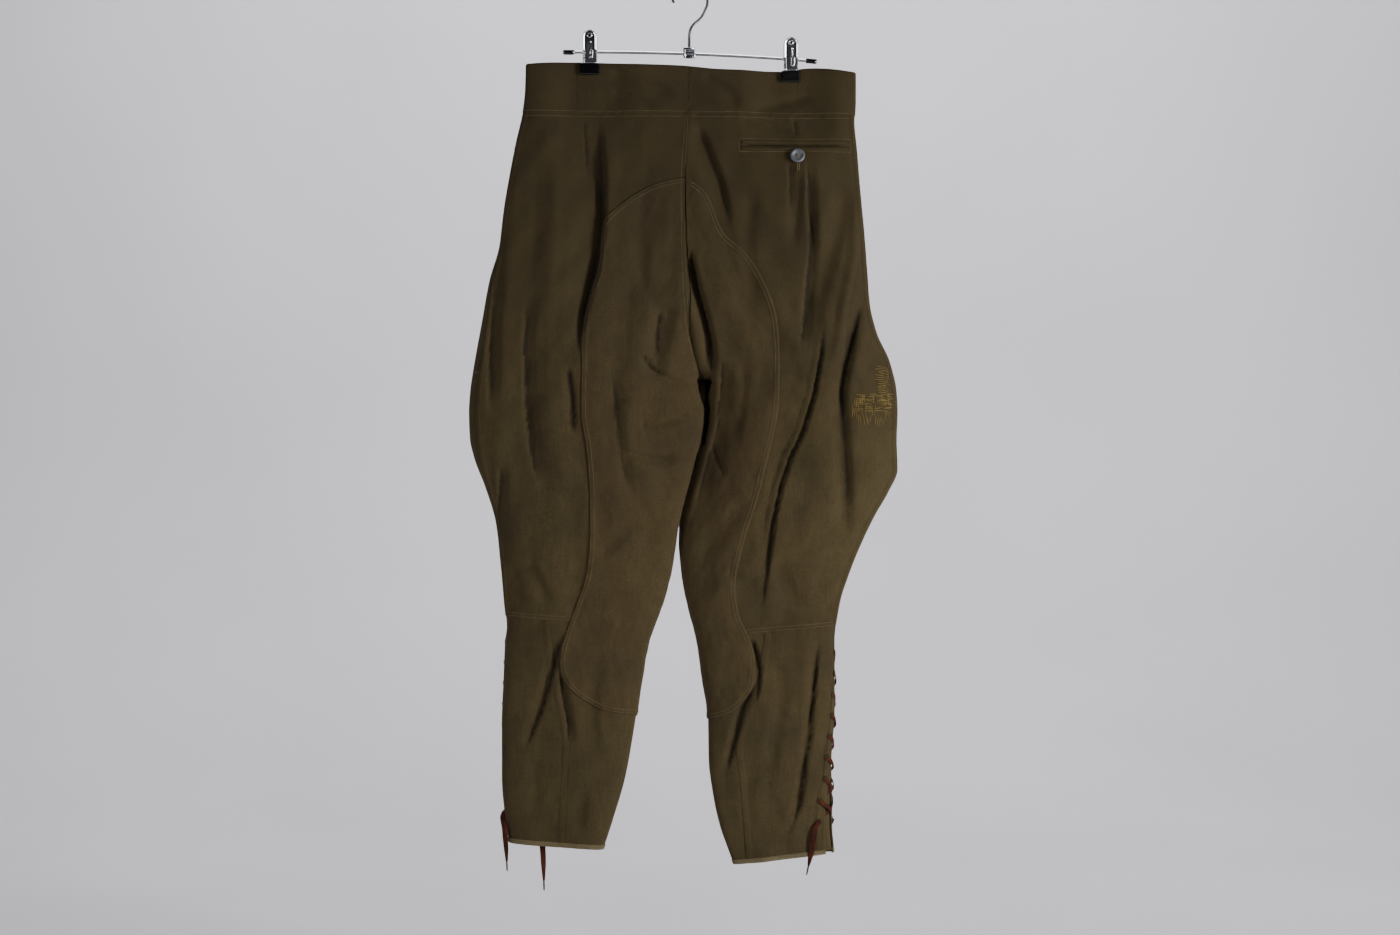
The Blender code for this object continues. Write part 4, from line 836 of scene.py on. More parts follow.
print("left back, over x -100 at drop 300:", [round(value) for value in seat_of("left", -100, 300)])

# %% [markdown]
# Every cut piece is a thin shell: the cloth's face, its reverse just inside, and a rim that closes
# the two. A shell takes a grid of levels and distances, a lift for each point where seam
# allowances lie doubled beneath, and a mask for cells that are cut away.

# %% Make a shell of cloth
CLOTH = 1.3
LEVEL_STEP = 2.7  # between points down it


def shell(node, leg, levels, arcs, lift=0.0, wall=CLOTH, keep=None, finish="cloth", slot="khaki_cloth"):
    """A node's cloth as a closed shell over grids of levels and distances, read from the leg's net."""
    outer, outward = on_net(leg, levels, arcs, lift)
    inner = outer - outward * wall
    rows, columns = arcs.shape
    keep = np.ones((rows - 1, columns - 1), bool) if keep is None else keep
    index = np.arange(rows * columns).reshape(rows, columns)
    a, b, c, d = index[:-1, :-1], index[1:, :-1], index[1:, 1:], index[:-1, 1:]
    cells = np.stack([a[keep], b[keep], c[keep], d[keep]], axis=1)
    if SIGN[leg] > 0:
        cells = cells[:, ::-1]
    total = rows * columns
    sides = np.concatenate([cells[:, [k, (k + 1) % 4]] for k in range(4)])
    keys = np.sort(sides, axis=1)
    _, first, count = np.unique(keys, axis=0, return_index=True, return_counts=True)
    rim = sides[first[count == 1]]
    walls = np.stack([rim[:, 1], rim[:, 0], rim[:, 0] + total, rim[:, 1] + total], axis=1)
    faces = np.concatenate([cells, cells[:, ::-1] + total, walls])
    points = np.concatenate([outer.reshape(-1, 3), inner.reshape(-1, 3)])
    places = np.stack([arcs, -levels, np.zeros_like(arcs)], axis=-1).reshape(-1, 3)
    places = np.concatenate([places, places])
    bend = np.tile(bend_at(leg, levels, arcs).ravel(), 2)
    used = np.zeros(len(points), bool)
    used[faces.ravel()] = True
    renumber = np.cumsum(used) - 1
    skin = points[used], renumber[faces]
    made = piece(node + "_cloth", *skin, finish, slot, [node], places[used], bend[used])
    made.data.set_sharp_from_angle(angle=math.radians(65))
    return made


EDGE_STEPS = (0.0, 0.7, 1.6, 3.2, 5.0, 6.6, 7.6, 8.6)  # close points by a seam, for its doubled strip


def across(first, last, count):
    """`count` + 1 distances from one to another, closer together by both ends."""
    length = abs(last - first)
    ends = np.array(EDGE_STEPS) if length > 4 * EDGE_STEPS[-1] else np.array(EDGE_STEPS) * length / 40
    inside = np.linspace(ends[-1], length - ends[-1], count + 3 - 2 * len(ends))[1:-1]
    steps = np.concatenate([ends, inside, length - ends[::-1]])
    return first + np.sign(last - first) * steps


def doubled(distance, width=8.0, height=0.6):
    """The lift over a seam's folded strip, which rises from the seam and ends in a soft step."""
    return height * ease((width - distance) / 1.6) * (0.25 + 0.75 * ease(distance / 1.2))


SEAM_CRACK = 0.04
OPEN_CRACK = 0.3  # where a plain seam shows as a thin dark line


def side_arc(leg, level):
    return -curve(SIDE_SEAM[leg], level)


def slit_arc(slit, leg, level):
    return float(curve(slit[leg], level))


def panel_grid(first, last, edges, count, seam_below=False):
    """Grids of levels, distances and lifts for a panel between two edges, given by level."""
    levels = np.linspace(first, last, round((last - first) / LEVEL_STEP) + 1)
    close = np.array([0.6, 1.6, 6.4, 7.4, 8.4])  # close rows by both ends, for a doubled strip
    levels = np.unique(np.concatenate([levels, first + close, last - close]))
    arcs = np.array([across(*edges(level), count) for level in levels])
    grid = np.repeat(levels[:, None], arcs.shape[1], axis=1)
    return grid, arcs, doubled(last - grid) if seam_below else np.zeros(arcs.shape)


def widest(arcs):
    return float((arcs[:, -1] - arcs[:, 0]).max())


# %% [markdown]
# The upper legs are a back and a front panel each. The side seam lies just behind the outer edge,
# so the fuller front folds round and shows from behind as a dark wing. The seam's allowance is
# turned towards the back and stitched down, which leaves a raised strip beside it.

# %% Cut the upper panels
FLAT_SIZES = {}
PANEL_SLACK = (1.06, 1.01)  # how much more is cut than shows, across and down, for the folds


def clear_of_mouth(leg, levels, arcs):
    """False for the faces of the back that would bridge the gap under the fork."""
    points, _ = on_net(leg, levels, arcs)
    return mouth_share(points[..., 0], -points[..., 2])[:-1, :-1] < 0.6


def hang(made, name, width, length, slack=(1.0, 1.0)):
    """Notes a cut piece's flat size, in millimetres, with its slack."""
    width, length = width * slack[0], length * slack[1]
    FLAT_SIZES[name] = (round(width), round(length))


def upper_panel(leg, name, edges, count):
    first, last = WAIST_SEAM + SEAM_CRACK, KNEE[leg] - SEAM_CRACK
    levels, arcs, lift = panel_grid(first, last, edges, count, seam_below=True)
    height = 1.0 if name == "back" else 0.2
    lift = np.maximum(lift, doubled(np.abs(arcs - arcs[:, [-1]]), 8.0, height))
    keep = clear_of_mouth(leg, levels, arcs) if name == "back" else None
    node = f"{name}_{leg}"
    hang(shell(node, leg, levels, arcs, lift, keep=keep), node, widest(arcs), last - first, PANEL_SLACK)


for leg in ROWS:
    def back_edges(level, leg=leg):
        start, _ = ends_of(leg, level)
        return start + SEAM_CRACK, side_arc(leg, level) - OPEN_CRACK

    def front_edges(level, leg=leg):
        _, end = ends_of(leg, level)
        return side_arc(leg, level) + OPEN_CRACK, end - SEAM_CRACK

    upper_panel(leg, "back", back_edges, 110)
    upper_panel(leg, "front", front_edges, 84)
print("flat sizes, mm:", FLAT_SIZES)

# %% [markdown]
# Below the knee seam each calf is cut in two. The outer piece goes from the seam down the back of
# the calf to the lacing slit. The inner piece goes from the slit over the front and round the inner
# edge to that same seam, with no seam of its own at the inner edge.

# %% Cut the calves
TAPE_HEIGHT = 6.0
TONGUE_LAP = 6.0  # how far the tongue goes under each edge of the slit
SLIT_TURN = (12.0, 0.5)  # width and height of the turned edge beside the slit
OUTER_CALF_SLACK, INNER_CALF_SLACK, TONGUE_SLACK = (1.08, 1.02), (1.06, 1.02), (1.05, 1.0)


def calf_seam_arc(leg, level):
    return arc_at_x(leg, level, curve(CALF_SEAM[leg], level))


def calf_levels(leg):
    return KNEE[leg] + SEAM_CRACK, HEM[leg] - TAPE_HEIGHT + 1.5


def cut_calf(leg):
    first, last = calf_levels(leg)

    def outer_edges(level):
        return calf_seam_arc(leg, level) + OPEN_CRACK, slit_arc(SLIT_BACK, leg, level)

    def front_edges(level):
        return slit_arc(SLIT_FRONT, leg, level), ends_of(leg, level)[1]

    def back_edges(level):
        return ends_of(leg, level)[0], calf_seam_arc(leg, level) - SEAM_CRACK

    def tongue_edges(level):
        return slit_arc(SLIT_BACK, leg, level) - TONGUE_LAP, slit_arc(SLIT_FRONT, leg, level) + TONGUE_LAP

    levels, arcs, lift = panel_grid(first, last, outer_edges, 44)
    lift = np.maximum(lift, doubled(arcs - arcs[:, [0]]))
    lift = np.maximum(lift, doubled(arcs[:, [-1]] - arcs, *SLIT_TURN))
    node = f"calf_outer_{leg}"
    hang(shell(node, leg, levels, arcs, lift), node, widest(arcs), last - first, OUTER_CALF_SLACK)

    levels, front, front_lift = panel_grid(first, last, front_edges, 74)
    _, back, back_lift = panel_grid(first, last, back_edges, 54)
    front_lift = np.maximum(front_lift, doubled(front - front[:, [0]], *SLIT_TURN))
    arcs = np.concatenate([front, back[:, 1:]], axis=1)
    lift = np.concatenate([front_lift, back_lift[:, 1:]], axis=1)
    levels = np.repeat(levels[:, :1], arcs.shape[1], axis=1)
    node = f"calf_inner_{leg}"
    wide = float((front[:, -1] - front[:, 0] + back[:, -1] - back[:, 0]).max())
    hang(shell(node, leg, levels, arcs, lift), node, wide, last - first, INNER_CALF_SLACK)

    levels = np.linspace(first, last, 90)
    arcs = np.array([np.linspace(*tongue_edges(level), 12) for level in levels])
    levels = np.repeat(levels[:, None], 12, axis=1)
    node = f"tongue_{leg}"
    made = shell(node, leg, levels, arcs, -CLOTH - 0.9, 1.0)
    hang(made, node, widest(arcs), last - first, TONGUE_SLACK)


for leg in ROWS:
    cut_calf(leg)
print("calf sizes, mm:", {name: size for name, size in FLAT_SIZES.items() if "calf" in name})

# %% [markdown]
# The waistband is cut in four and is the stiffest part. Its cloth is quilted to its lining by rows
# of stitching, so it stays flat between soft slanting creases. A pale tape binds each hem.

# %% Cut the waistband and the hem tapes
BAND_LIFT = 0.9  # the band's lower edge lies over the panels
BAND_WALL = 2.2
BAND_SLACK = (1.02, 1.0)
TAPE_CUT = 10.0  # what shows of the tape, with its turned edge
TAPE_EXTRA = 60.0  # in the noted flat length only, beyond the way round the hem


def cut_band(leg):
    first, last = WAIST_TOP + 0.3, WAIST_SEAM - SEAM_CRACK

    def back(level):
        return ends_of(leg, level)[0] + SEAM_CRACK, side_arc(leg, level) - SEAM_CRACK

    def front(level):
        return side_arc(leg, level) + SEAM_CRACK, ends_of(leg, level)[1] - SEAM_CRACK

    for side, edges in (("back", back), ("front", front)):
        levels, arcs, _ = panel_grid(first, last, edges, 88)
        rolled = 0.9 * (1 - ease((levels - first) / 1.6)) + 0.5 * (1 - ease((last - levels) / 1.2))
        lift = BAND_LIFT * (1 - pinch(levels, on_net(leg, levels, arcs)[0][..., 0])) - rolled
        node = f"waistband_{side}_{leg}"
        hang(shell(node, leg, levels, arcs, lift, BAND_WALL), node, widest(arcs), last - first, BAND_SLACK)


def bind_hem(leg):
    rows = HEM[leg] - TAPE_HEIGHT + np.array([0.0, 0.5, 2.2, 4.2, 5.5, 6.0])
    arcs = []
    for level in rows:
        start, end = ends_of(leg, level)
        front = np.linspace(curve(SLIT_FRONT[leg], level), end, 70)
        back = np.linspace(start, curve(SLIT_BACK[leg], level), 80)[1:]
        arcs.append(np.concatenate([front, back]))
    arcs = np.array(arcs)
    levels = np.repeat(rows[:, None], arcs.shape[1], axis=1)
    lift = np.repeat(np.array([0.1, 0.75, 0.95, 0.95, 0.7, -0.1])[:, None], arcs.shape[1], axis=1)
    lift = lift + 0.12 * swells(arcs, levels, 5, 5, 5, 12)
    node = f"hem_tape_{leg}"
    made = shell(node, leg, levels, arcs, lift, BAND_WALL, finish="tape", slot="khaki_tape")
    hang(made, node, float(np.ptp(arcs[0]) + TAPE_EXTRA), TAPE_CUT)


for leg in ROWS:
    cut_band(leg)
    bind_hem(leg)
print("bands, mm:", {name: size for name, size in FLAT_SIZES.items() if "waist" in name})

# %% [markdown]
# Inside each seam both pieces have a turned-in allowance. From outside it is never seen, but it is
# what keeps light from showing through a seam, so each seam gets one strip that bridges it.

# %% Bridge the seams inside
ALLOWANCE = 7.0
BRIDGE_STEP = 4.0  # between points along a bridged seam
STRIPS = []


def strip(rows_of_points):
    """Adds a two-sided strip through rows of points across a seam."""
    rows = np.array(rows_of_points)
    count, wide = rows.shape[:2]
    cells = []
    for i in range(count - 1):
        for j in range(wide - 1):
            a = i * wide + j
            cells.append((a, a + 1, a + wide + 1, a + wide))
    STRIPS.append((rows.reshape(-1, 3), np.array(cells)))


def bridge_ends(levels, first_leg, first_end, second_leg, second_end, lift):
    """A strip across a seam where two paths end: 0 for a path's back end and 1 for its front end."""
    rows = []
    for level in levels:
        halves = []
        for leg, end in ((first_leg, first_end), (second_leg, second_end)):
            inwards = (1 - 2 * end) * np.linspace(0, ALLOWANCE, 4)
            halves.append(on_net(leg, level, ends_of(leg, level)[end] + inwards, lift)[0])
        rows.append(np.concatenate([halves[0][::-1], halves[1]]))
    strip(rows)


def bridge_at(leg, levels, arc_of, lift):
    """A strip under a seam that runs down the cloth at given distances round."""
    wide = np.linspace(-ALLOWANCE, ALLOWANCE, 7)
    strip([on_net(leg, level, arc_of(level) + wide, lift)[0] for level in levels])


for leg in ROWS:
    top_levels = np.arange(WAIST_TOP + 1, KNEE[leg], BRIDGE_STEP)
    bridge_at(leg, top_levels, lambda level: side_arc(leg, level), -2.0)
    bridge_ends(np.arange(FORK + 2, KNEE[leg] + 2, BRIDGE_STEP), leg, 0, leg, 1, -1.7)
    calf_rows = np.arange(*calf_levels(leg), BRIDGE_STEP)
    bridge_at(leg, calf_rows, lambda level: calf_seam_arc(leg, level), -1.7)
    for level, lift in ((KNEE[leg], -1.8), (WAIST_SEAM, -2.6)):
        wide = level + np.linspace(-6, 6, 5)
        strip([on_net(leg, wide, arc, lift)[0] for arc in np.arange(*ends_of(leg, level), BRIDGE_STEP)])
body_levels = np.arange(WAIST_TOP + 1, FORK + 2, 3.0)
bridge_ends(body_levels[body_levels < MOUTH[0, 1] - 5], "left", 0, "right", 0, -2.4)
bridge_ends(body_levels, "left", 1, "right", 1, -2.4)


def joined(parts):
    """One set of points and faces out of several."""
    points, faces, offset = [], [], 0
    for some, cells in parts:
        points.append(np.asarray(some, float))
        faces += [tuple(int(i) + offset for i in cell) for cell in cells]
        offset += len(some)
    return np.concatenate(points), faces


def gather(name, parts, finish, slot):
    """One piece from many (points, faces) parts."""
    return piece(name, *joined(parts), finish, slot)


allowances = gather("seam_allowances", STRIPS, "cloth", "khaki_cloth")
solid = allowances.modifiers.new("Doubled", "SOLIDIFY")
solid.thickness, solid.offset = 0.5 * MM, 0.0
print("strips behind the seams:", len(STRIPS))

# %% [markdown]
# A riding patch of the same cloth goes over the seat and down the inside of each leg, and turns
# round to the front along the inner thigh. Its edge is turned under, so it is thicker there, and it
# is stitched twice. The outline is a row of listed points from the centre seam round to the calf.

# %% Lay the riding patches
PATCH_BACK = {
    "left": [
        (-2, 241), (-16, 243), (-38, 248), (-60, 258), (-81, 273), (-102, 295), (-106, 349), (-119, 385),
        (-126, 445),
        (-127, 520), (-121, 555), (-117, 620), (-117, 667), (-120, 702), (-136, 749), (-149, 787),
        (-153, 808), (-149, 826), (-138, 843), (-118, 858), (-92, 868), (-60, 872),
    ],
    "right": [
        (2, 246), (8, 249), (15, 254), (24, 269), (41, 309), (58, 322), (73, 339), (86, 362), (96, 385),
        (103, 413),
        (105, 460), (104, 507), (96, 551), (88, 584), (78, 623), (67, 656), (59, 687), (53, 717),
        (57, 752), (67, 774), (73, 789), (77, 812), (73, 840), (64, 853), (51, 867), (35, 874), (16, 878),
    ],
}
PATCH_FRONT = [  # drop, width
    (556, 14), (566, 44), (590, 66), (640, 70), (740, 62), (810, 56), (845, 44), (866, 20),
]
PATCH_FLAT = {"left": (190, 640), "right": (160, 640)}
PATCH_LIFT = 1.35
PATCH_INNER_COLUMNS = 46
OUTLINE_SMOOTHING = 26
EDGE_ROWS = (1.5, 5.4)  # the two rows of stitching, from the edge


def outline(leg, front):
    """The patch's edge as (x, drop) points about 2 mm apart, from the top to the bottom."""
    if front:
        widths = [(curve(INNER[leg], drop) + SIGN[leg] * width, drop) for drop, width in PATCH_FRONT]
        rough = [(curve(INNER[leg], PATCH_FRONT[0][0]), PATCH_FRONT[0][0] - 1), *widths]
    else:
        rough = PATCH_BACK[leg]
    line = through(rough, 2.0)
    for _ in range(OUTLINE_SMOOTHING):
        line[1:-1] = (line[:-2] + 2 * line[1:-1] + line[2:]) / 4
    return line


OUTLINES = {(leg, front): outline(leg, front) for leg in ROWS for front in (False, True)}


def edge_distance(line, x, drop):
    """How far each place is from the patch's edge."""
    nearest = np.full(np.shape(x), np.inf)
    for (x0, d0), (x1, d1) in zip(line[:-1], line[1:]):
        run_x, run_d = x1 - x0, d1 - d0
        t = np.clip(((x - x0) * run_x + (drop - d0) * run_d) / (run_x**2 + run_d**2), 0, 1)
        nearest = np.minimum(nearest, np.hypot(x - x0 - t * run_x, drop - d0 - t * run_d))
    return nearest


def patch_lift(distance):
    """Height of the patch's face: rolled at its edge, doubled beside it, dimpled at the stitching."""
    rolled = 0.3 + 0.7 * ease(distance / 1.1)
    strip = 0.5 * ease((7.6 - distance) / 1.8)
    dimples = sum(np.exp(-(((distance - row) / 0.9) ** 2)) for row in EDGE_ROWS)
    return PATCH_LIFT * rolled + strip * rolled - 0.28 * dimples


def patch_edge_arc(leg, level, front):
    line = OUTLINES[leg, front]
    x = float(np.interp(level, line[:, 1], line[:, 0]))
    for _ in range(8):
        x = 0.4 * x + 0.6 * float(np.interp(drop_at(leg, level, x), line[:, 1], line[:, 0]))
    return arc_at_x(leg, level, x, front)


def patch_columns(near, edge, count):
    """Distances from the seam to the patch's edge, close together at the edge."""
    width = abs(edge - near)
    close = np.array([0.0, 0.5, 1.1, 2.0, 3.0, 4.5, 6.0, 7.0, 8.0, 9.2, 10.5]) * min(1.0, width / 24)
    rest = np.linspace(close[-1], width, count + 2 - len(close))[1:]
    steps = np.concatenate([close, rest])
    return edge + np.sign(near - edge) * steps if width > 0 else np.full(count + 1, edge)


def lay_patch(leg):
    top, bottom = 241.5, 872.0
    front_top, front_bottom = PATCH_FRONT[0][0], PATCH_FRONT[-1][0]
    levels = np.unique(np.concatenate([
        np.arange(top, 262, 0.8), np.arange(262, 836, 2.3), np.arange(836, bottom + 4, 0.9),
        front_top + np.array([0.0, 0.5, 1.1, 2.0, 3.0]), front_bottom + np.array([-1.0, 0.0, 1.0, 2.0]),
    ]))
    back, front, keep_back, keep_front = [], [], [], []
    for level in levels:
        start, end = ends_of(leg, level)
        edge = patch_edge_arc(leg, level, False)
        seam = SEAM_CRACK if level < FORK + 30 else 0.0
        back.append(patch_columns(min(start + seam, edge), edge, PATCH_INNER_COLUMNS)[::-1])
        keep_back.append(edge - start > 1.5)
        far = patch_edge_arc(leg, level, True)
        inside = front_top <= level <= front_bottom + 2.0
        front.append(patch_columns(end, far, 30) if inside else np.full(31, end))
        keep_front.append(inside)
    back, front = np.array(back), np.array(front)
    arcs = np.concatenate([front, back[:, 1:]], axis=1)
    grid = np.repeat(levels[:, None], arcs.shape[1], axis=1)
    keep = np.zeros((len(levels) - 1, arcs.shape[1] - 1), bool)
    keep_back, keep_front = np.array(keep_back), np.array(keep_front)
    keep[:, front.shape[1] - 1 :] = (keep_back[:-1] | keep_back[1:])[:, None]
    keep[:, : front.shape[1] - 1] = (keep_front[:-1] & keep_front[1:])[:, None]
    keep[:, front.shape[1] - 1 :] &= clear_of_mouth(leg, grid, arcs)[:, front.shape[1] - 1 :]
    points, _ = on_net(leg, grid, arcs)
    is_front = np.arange(arcs.shape[1]) < front.shape[1]
    away_back = edge_distance(OUTLINES[leg, False], points[..., 0], -points[..., 2])
    away_front = edge_distance(OUTLINES[leg, True], points[..., 0], -points[..., 2])
    away = np.where(is_front[None, :], away_front, away_back)
    low = (grid < front_top) | is_front[None, :]
    away = np.where(low, away, np.minimum(away_back, away_front + 30.0))
    lift = patch_lift(away) + 0.16 * swells(arcs, grid, 31, 7, 9, 22)
    node = f"leg_patch_{leg}"
    made = shell(node, leg, grid, arcs, lift, 1.0, keep, finish="patch", slot="khaki_patch")
    hang(made, node, *PATCH_FLAT[leg])


for leg in ROWS:
    lay_patch(leg)
print("patches, mm:", {name: size for name, size in FLAT_SIZES.items() if "patch" in name})

# %% [markdown]
# Stitching is what makes cloth read as tailoring, so each stitch here is its own little spindle of
# thread that sinks at both ends. Seams are sewn twice, about 4 mm apart. Most of the thread has
# faded paler than the cloth, and some rows have darkened with it. One helper sews a row along any
# line of places on the leg.

# %% Sew the seams
THREADS = {"left": [], "right": []}
DULL_THREADS = []  # rows that have darkened with the cloth
STITCH_PITCH, STITCH_LENGTH, STITCH_WIDTH = 2.9, 2.3, 0.52
GUIDE_STEP = 2.5  # between the places that a row is sewn along
NEEDLE = np.random.default_rng(4)


def spindles(centres, runs, outs, length, width):
    """Points and faces of one short thread at each centre."""
    sides = np.cross(outs, runs)
    around = [(1, 0), (0, 1), (-1, 0), (0, -1)]
    points = []
    for share, full in ((-0.5, 0), (-0.28, 1), (0.28, 1), (0.5, 0)):
        middle_of = centres + runs * (share * length)[:, None] - outs * (0.35 * width * (1 - full))[:, None]
        if full:
            points += [middle_of + (sides * a + outs * b) * (width * 0.5)[:, None] for a, b in around]
        else:
            points.append(middle_of)
    points = np.stack(points, axis=1)
    first = np.arange(len(centres))[:, None] * points.shape[1]
    pattern = [(0, 2, 1), (0, 3, 2), (0, 4, 3), (0, 1, 4)]
    pattern += [(1, 2, 6), (1, 6, 5), (2, 3, 7), (2, 7, 6), (3, 4, 8), (3, 8, 7), (4, 1, 5), (4, 5, 8)]
    pattern += [(9, 5, 6), (9, 6, 7), (9, 7, 8), (9, 8, 5)]
    faces = (first[:, None, :] + np.array(pattern)[None, :, :]).reshape(-1, 3)
    return points.reshape(-1, 3), faces


def one_thread(centre, run, out, length, width):
    return spindles(centre[None], run[None], out[None], np.array([length]), np.array([width]))


def read_line(at, run, values):
    """Points or directions at distances along a line."""
    return np.stack([np.interp(at, run, values[:, k]) for k in range(3)], axis=1)


def sew(leg, places, lift=0.0, pitch=STITCH_PITCH, length=STITCH_LENGTH, width=STITCH_WIDTH, into=None):
    """A row of stitches through (level, distance round) places."""
    places = np.array(places, float)
    heights = np.broadcast_to(np.asarray(lift, float), (len(places),))
    points, outward = on_net(leg, places[:, 0], places[:, 1], heights)
    run = run_along(points)
    if run[-1] < pitch:
        return
    at = np.arange(pitch / 2, run[-1], pitch)
    at = at + NEEDLE.uniform(-0.25, 0.25, len(at))
    centres = read_line(at, run, points)
    outs = unit(read_line(at, run, outward))
    runs = unit(read_line(at + 0.6, run, points) - read_line(at - 0.6, run, points))
    lengths = length * NEEDLE.uniform(0.85, 1.08, len(at))
    widths = width * NEEDLE.uniform(0.85, 1.15, len(at))
    into = THREADS[leg] if into is None else into
    into.append(spindles(centres + outs * width * 0.18, runs, outs, lengths, widths))


def along_levels(first, last, arc_of):
    return [(level, arc_of(level)) for level in np.arange(first, last, GUIDE_STEP)]


def along_arcs(level, first, last):
    return [(level, arc) for arc in np.arange(first, last, GUIDE_STEP)]


def inset(line, distance, inside):
    """An outline moved inwards, towards the side that `inside` points to."""
    run = unit(np.gradient(line, axis=0))
    normal = np.stack([-run[:, 1], run[:, 0]], axis=1)
    flip = np.sign((inside - line[len(line) // 2]) @ normal[len(line) // 2])
    return line + normal * distance * flip


def sew_patch(leg):
    for front in (False, True):
        line = OUTLINES[leg, front]
        inside = np.array([curve(INNER[leg], 650), 650.0])
        for distance in EDGE_ROWS:
            row = inset(line, distance, inside)
            row = row[(row[:, 0] - curve(INNER[leg], row[:, 1])) * SIGN[leg] > 3.0] if len(row) else row
            places = [seat_of(leg, x, drop, front) for x, drop in row]
            sew(leg, places, float(patch_lift(np.array(distance))) + 0.12)


def sew_leg(leg):
    knee = KNEE[leg]
    for distance in EDGE_ROWS:

        def beside_side_seam(level):
            return side_arc(leg, level) - distance

        def beside_seat_seam(level):
            return ends_of(leg, level)[0] + distance

        sew(leg, along_levels(WAIST_SEAM + 3, knee - 1, beside_side_seam), 0.9, into=DULL_THREADS)
        level = knee - distance
        start, end = patch_edge_arc(leg, level, False), patch_edge_arc(leg, level, True)
        sew(leg, along_arcs(level, start + 2, end - 2), 0.5)
        level = WAIST_SEAM - 2.2 + (distance > 4) * 6.0
        start, end = ends_of(leg, level)
        sew(leg, along_arcs(level, start + 2, end - 2), 0.15 if distance > 4 else BAND_LIFT)
        if leg == "left":
            sew(leg, along_levels(WAIST_SEAM + 6, 243, beside_seat_seam), 0.3)
            sew(leg, along_levels(246, 476, beside_seat_seam), float(patch_lift(np.array(30.0))) + 0.1)
    first, last = calf_levels(leg)
    for distance in (3.0, 10.8):
        for slit, way in ((SLIT_BACK, -1), (SLIT_FRONT, 1)):
            places = along_levels(first + 1, last, lambda level: slit_arc(slit, leg, level) + way * distance)
            sew(leg, places, 0.5, into=DULL_THREADS)
    level = WAIST_TOP + 4.2
    start, end = ends_of(leg, level)
    sew(leg, along_arcs(level, start + 2, end - 2), BAND_LIFT, into=DULL_THREADS)
    level = HEM[leg] - TAPE_HEIGHT + 1.1
    start, end = ends_of(leg, level)
    sew(leg, along_arcs(level, start, slit_arc(SLIT_BACK, leg, level)), 0.95)
    sew(leg, along_arcs(level, slit_arc(SLIT_FRONT, leg, level), end), 0.95)


for leg in ROWS:
    sew_patch(leg)
    sew_leg(leg)
print("rows of stitching:", {leg: len(rows) for leg, rows in THREADS.items()})

# %% [markdown]
# The back pocket is a slit between two narrow welts, with a stitched box round it and a dished
# button that closes it. The welts are strips folded double, so they stand up as round lips.

# %% Open the pocket
POCKET_X = (61.0, 186.0)
POCKET_DROP = 203.0
WELT_HEIGHT = 5.0
SLIT_HALF = 1.1


def make_welt(node, low, high, lip):
    shares = np.linspace(0, 1, 9)
    xs = np.linspace(*POCKET_X, 64)
    levels = low + (high - low) * shares
    arcs = np.array([[arc_at_x("right", level, x) for x in xs] for level in levels])
    grid = np.repeat(levels[:, None], len(xs), axis=1)
    from_lip = shares if lip == "low" else 1 - shares
    height = 0.35 + 0.75 * np.sqrt(np.clip(1 - (from_lip * 1.35 - 0.35) ** 2, 0, 1))
    lift = np.repeat(height[:, None], len(xs), axis=1) + 0.12 * swells(arcs, grid, 8, 6, 6, 16)
    made = shell(node, "right", grid, arcs, lift, 1.2)
    hang(made, node, POCKET_X[1] - POCKET_X[0], 10.0)


make_welt("pocket_welt_upper", POCKET_DROP - SLIT_HALF - WELT_HEIGHT, POCKET_DROP - SLIT_HALF, "high")
make_welt("pocket_welt_lower", POCKET_DROP + SLIT_HALF, POCKET_DROP + SLIT_HALF + WELT_HEIGHT, "low")


def sew_line(leg, corners, lift, **kwargs):
    """Stitches along straight lines between (x, drop) places on the back."""
    line = []
    for (x0, d0), (x1, d1) in zip(corners[:-1], corners[1:]):
        count = max(2, round(math.hypot(x1 - x0, d1 - d0) / GUIDE_STEP))
        line += [(x0 + (x1 - x0) * t, d0 + (d1 - d0) * t) for t in np.linspace(0, 1, count, endpoint=False)]
    line.append(corners[-1])
    sew(leg, [seat_of(leg, x, drop) for x, drop in line], lift, **kwargs)


box_low, box_high = POCKET_DROP - 7.6, POCKET_DROP + 7.6
sew_line("right", [(58, box_low), (189, box_low), (189, box_high), (58, box_high), (58, box_low)], 0.12)
BUTTONHOLE = (127.0, 224.5, 233.5)  # x, top and bottom drop
for aside in (-1.1, 1.1):
    sew_line(
        "right", [(BUTTONHOLE[0] + aside, BUTTONHOLE[1]), (BUTTONHOLE[0] + aside, BUTTONHOLE[2])],
        0.1, pitch=0.9, length=0.85, width=1.3,
    )
for x0, x1, top, bottom in ((-133, -133, 117, 158), (127, 127, 126, 158)):
    sew_line("left" if x0 < 0 else "right", [(x0 + 2, top), (x1 + 2, bottom)], BAND_LIFT, into=DULL_THREADS)
print("pocket from x", POCKET_X, "at drop", POCKET_DROP)

# %% [markdown]
# The buttons are pressed from a dull grey metal: a thick rolled rim round a dished middle, sewn on
# through four holes. Each is turned from a profile, and the thread crosses in the dish.

# %% Sew on the buttons
BUTTON_PROFILE = [
    (0.0, 1.0), (1.6, 1.0), (3.2, 1.02), (4.4, 1.25), (5.2, 1.9), (6.0, 2.5), (6.9, 2.72), (7.8, 2.5),
    (8.5, 1.85),
    (8.8, 1.2), (8.55, 0.6), (7.8, 0.3), (5.0, 0.25), (1.6, 0.2), (1.5, -1.4), (0.0, -1.4),
]
BUTTON_LIFT = 1.8


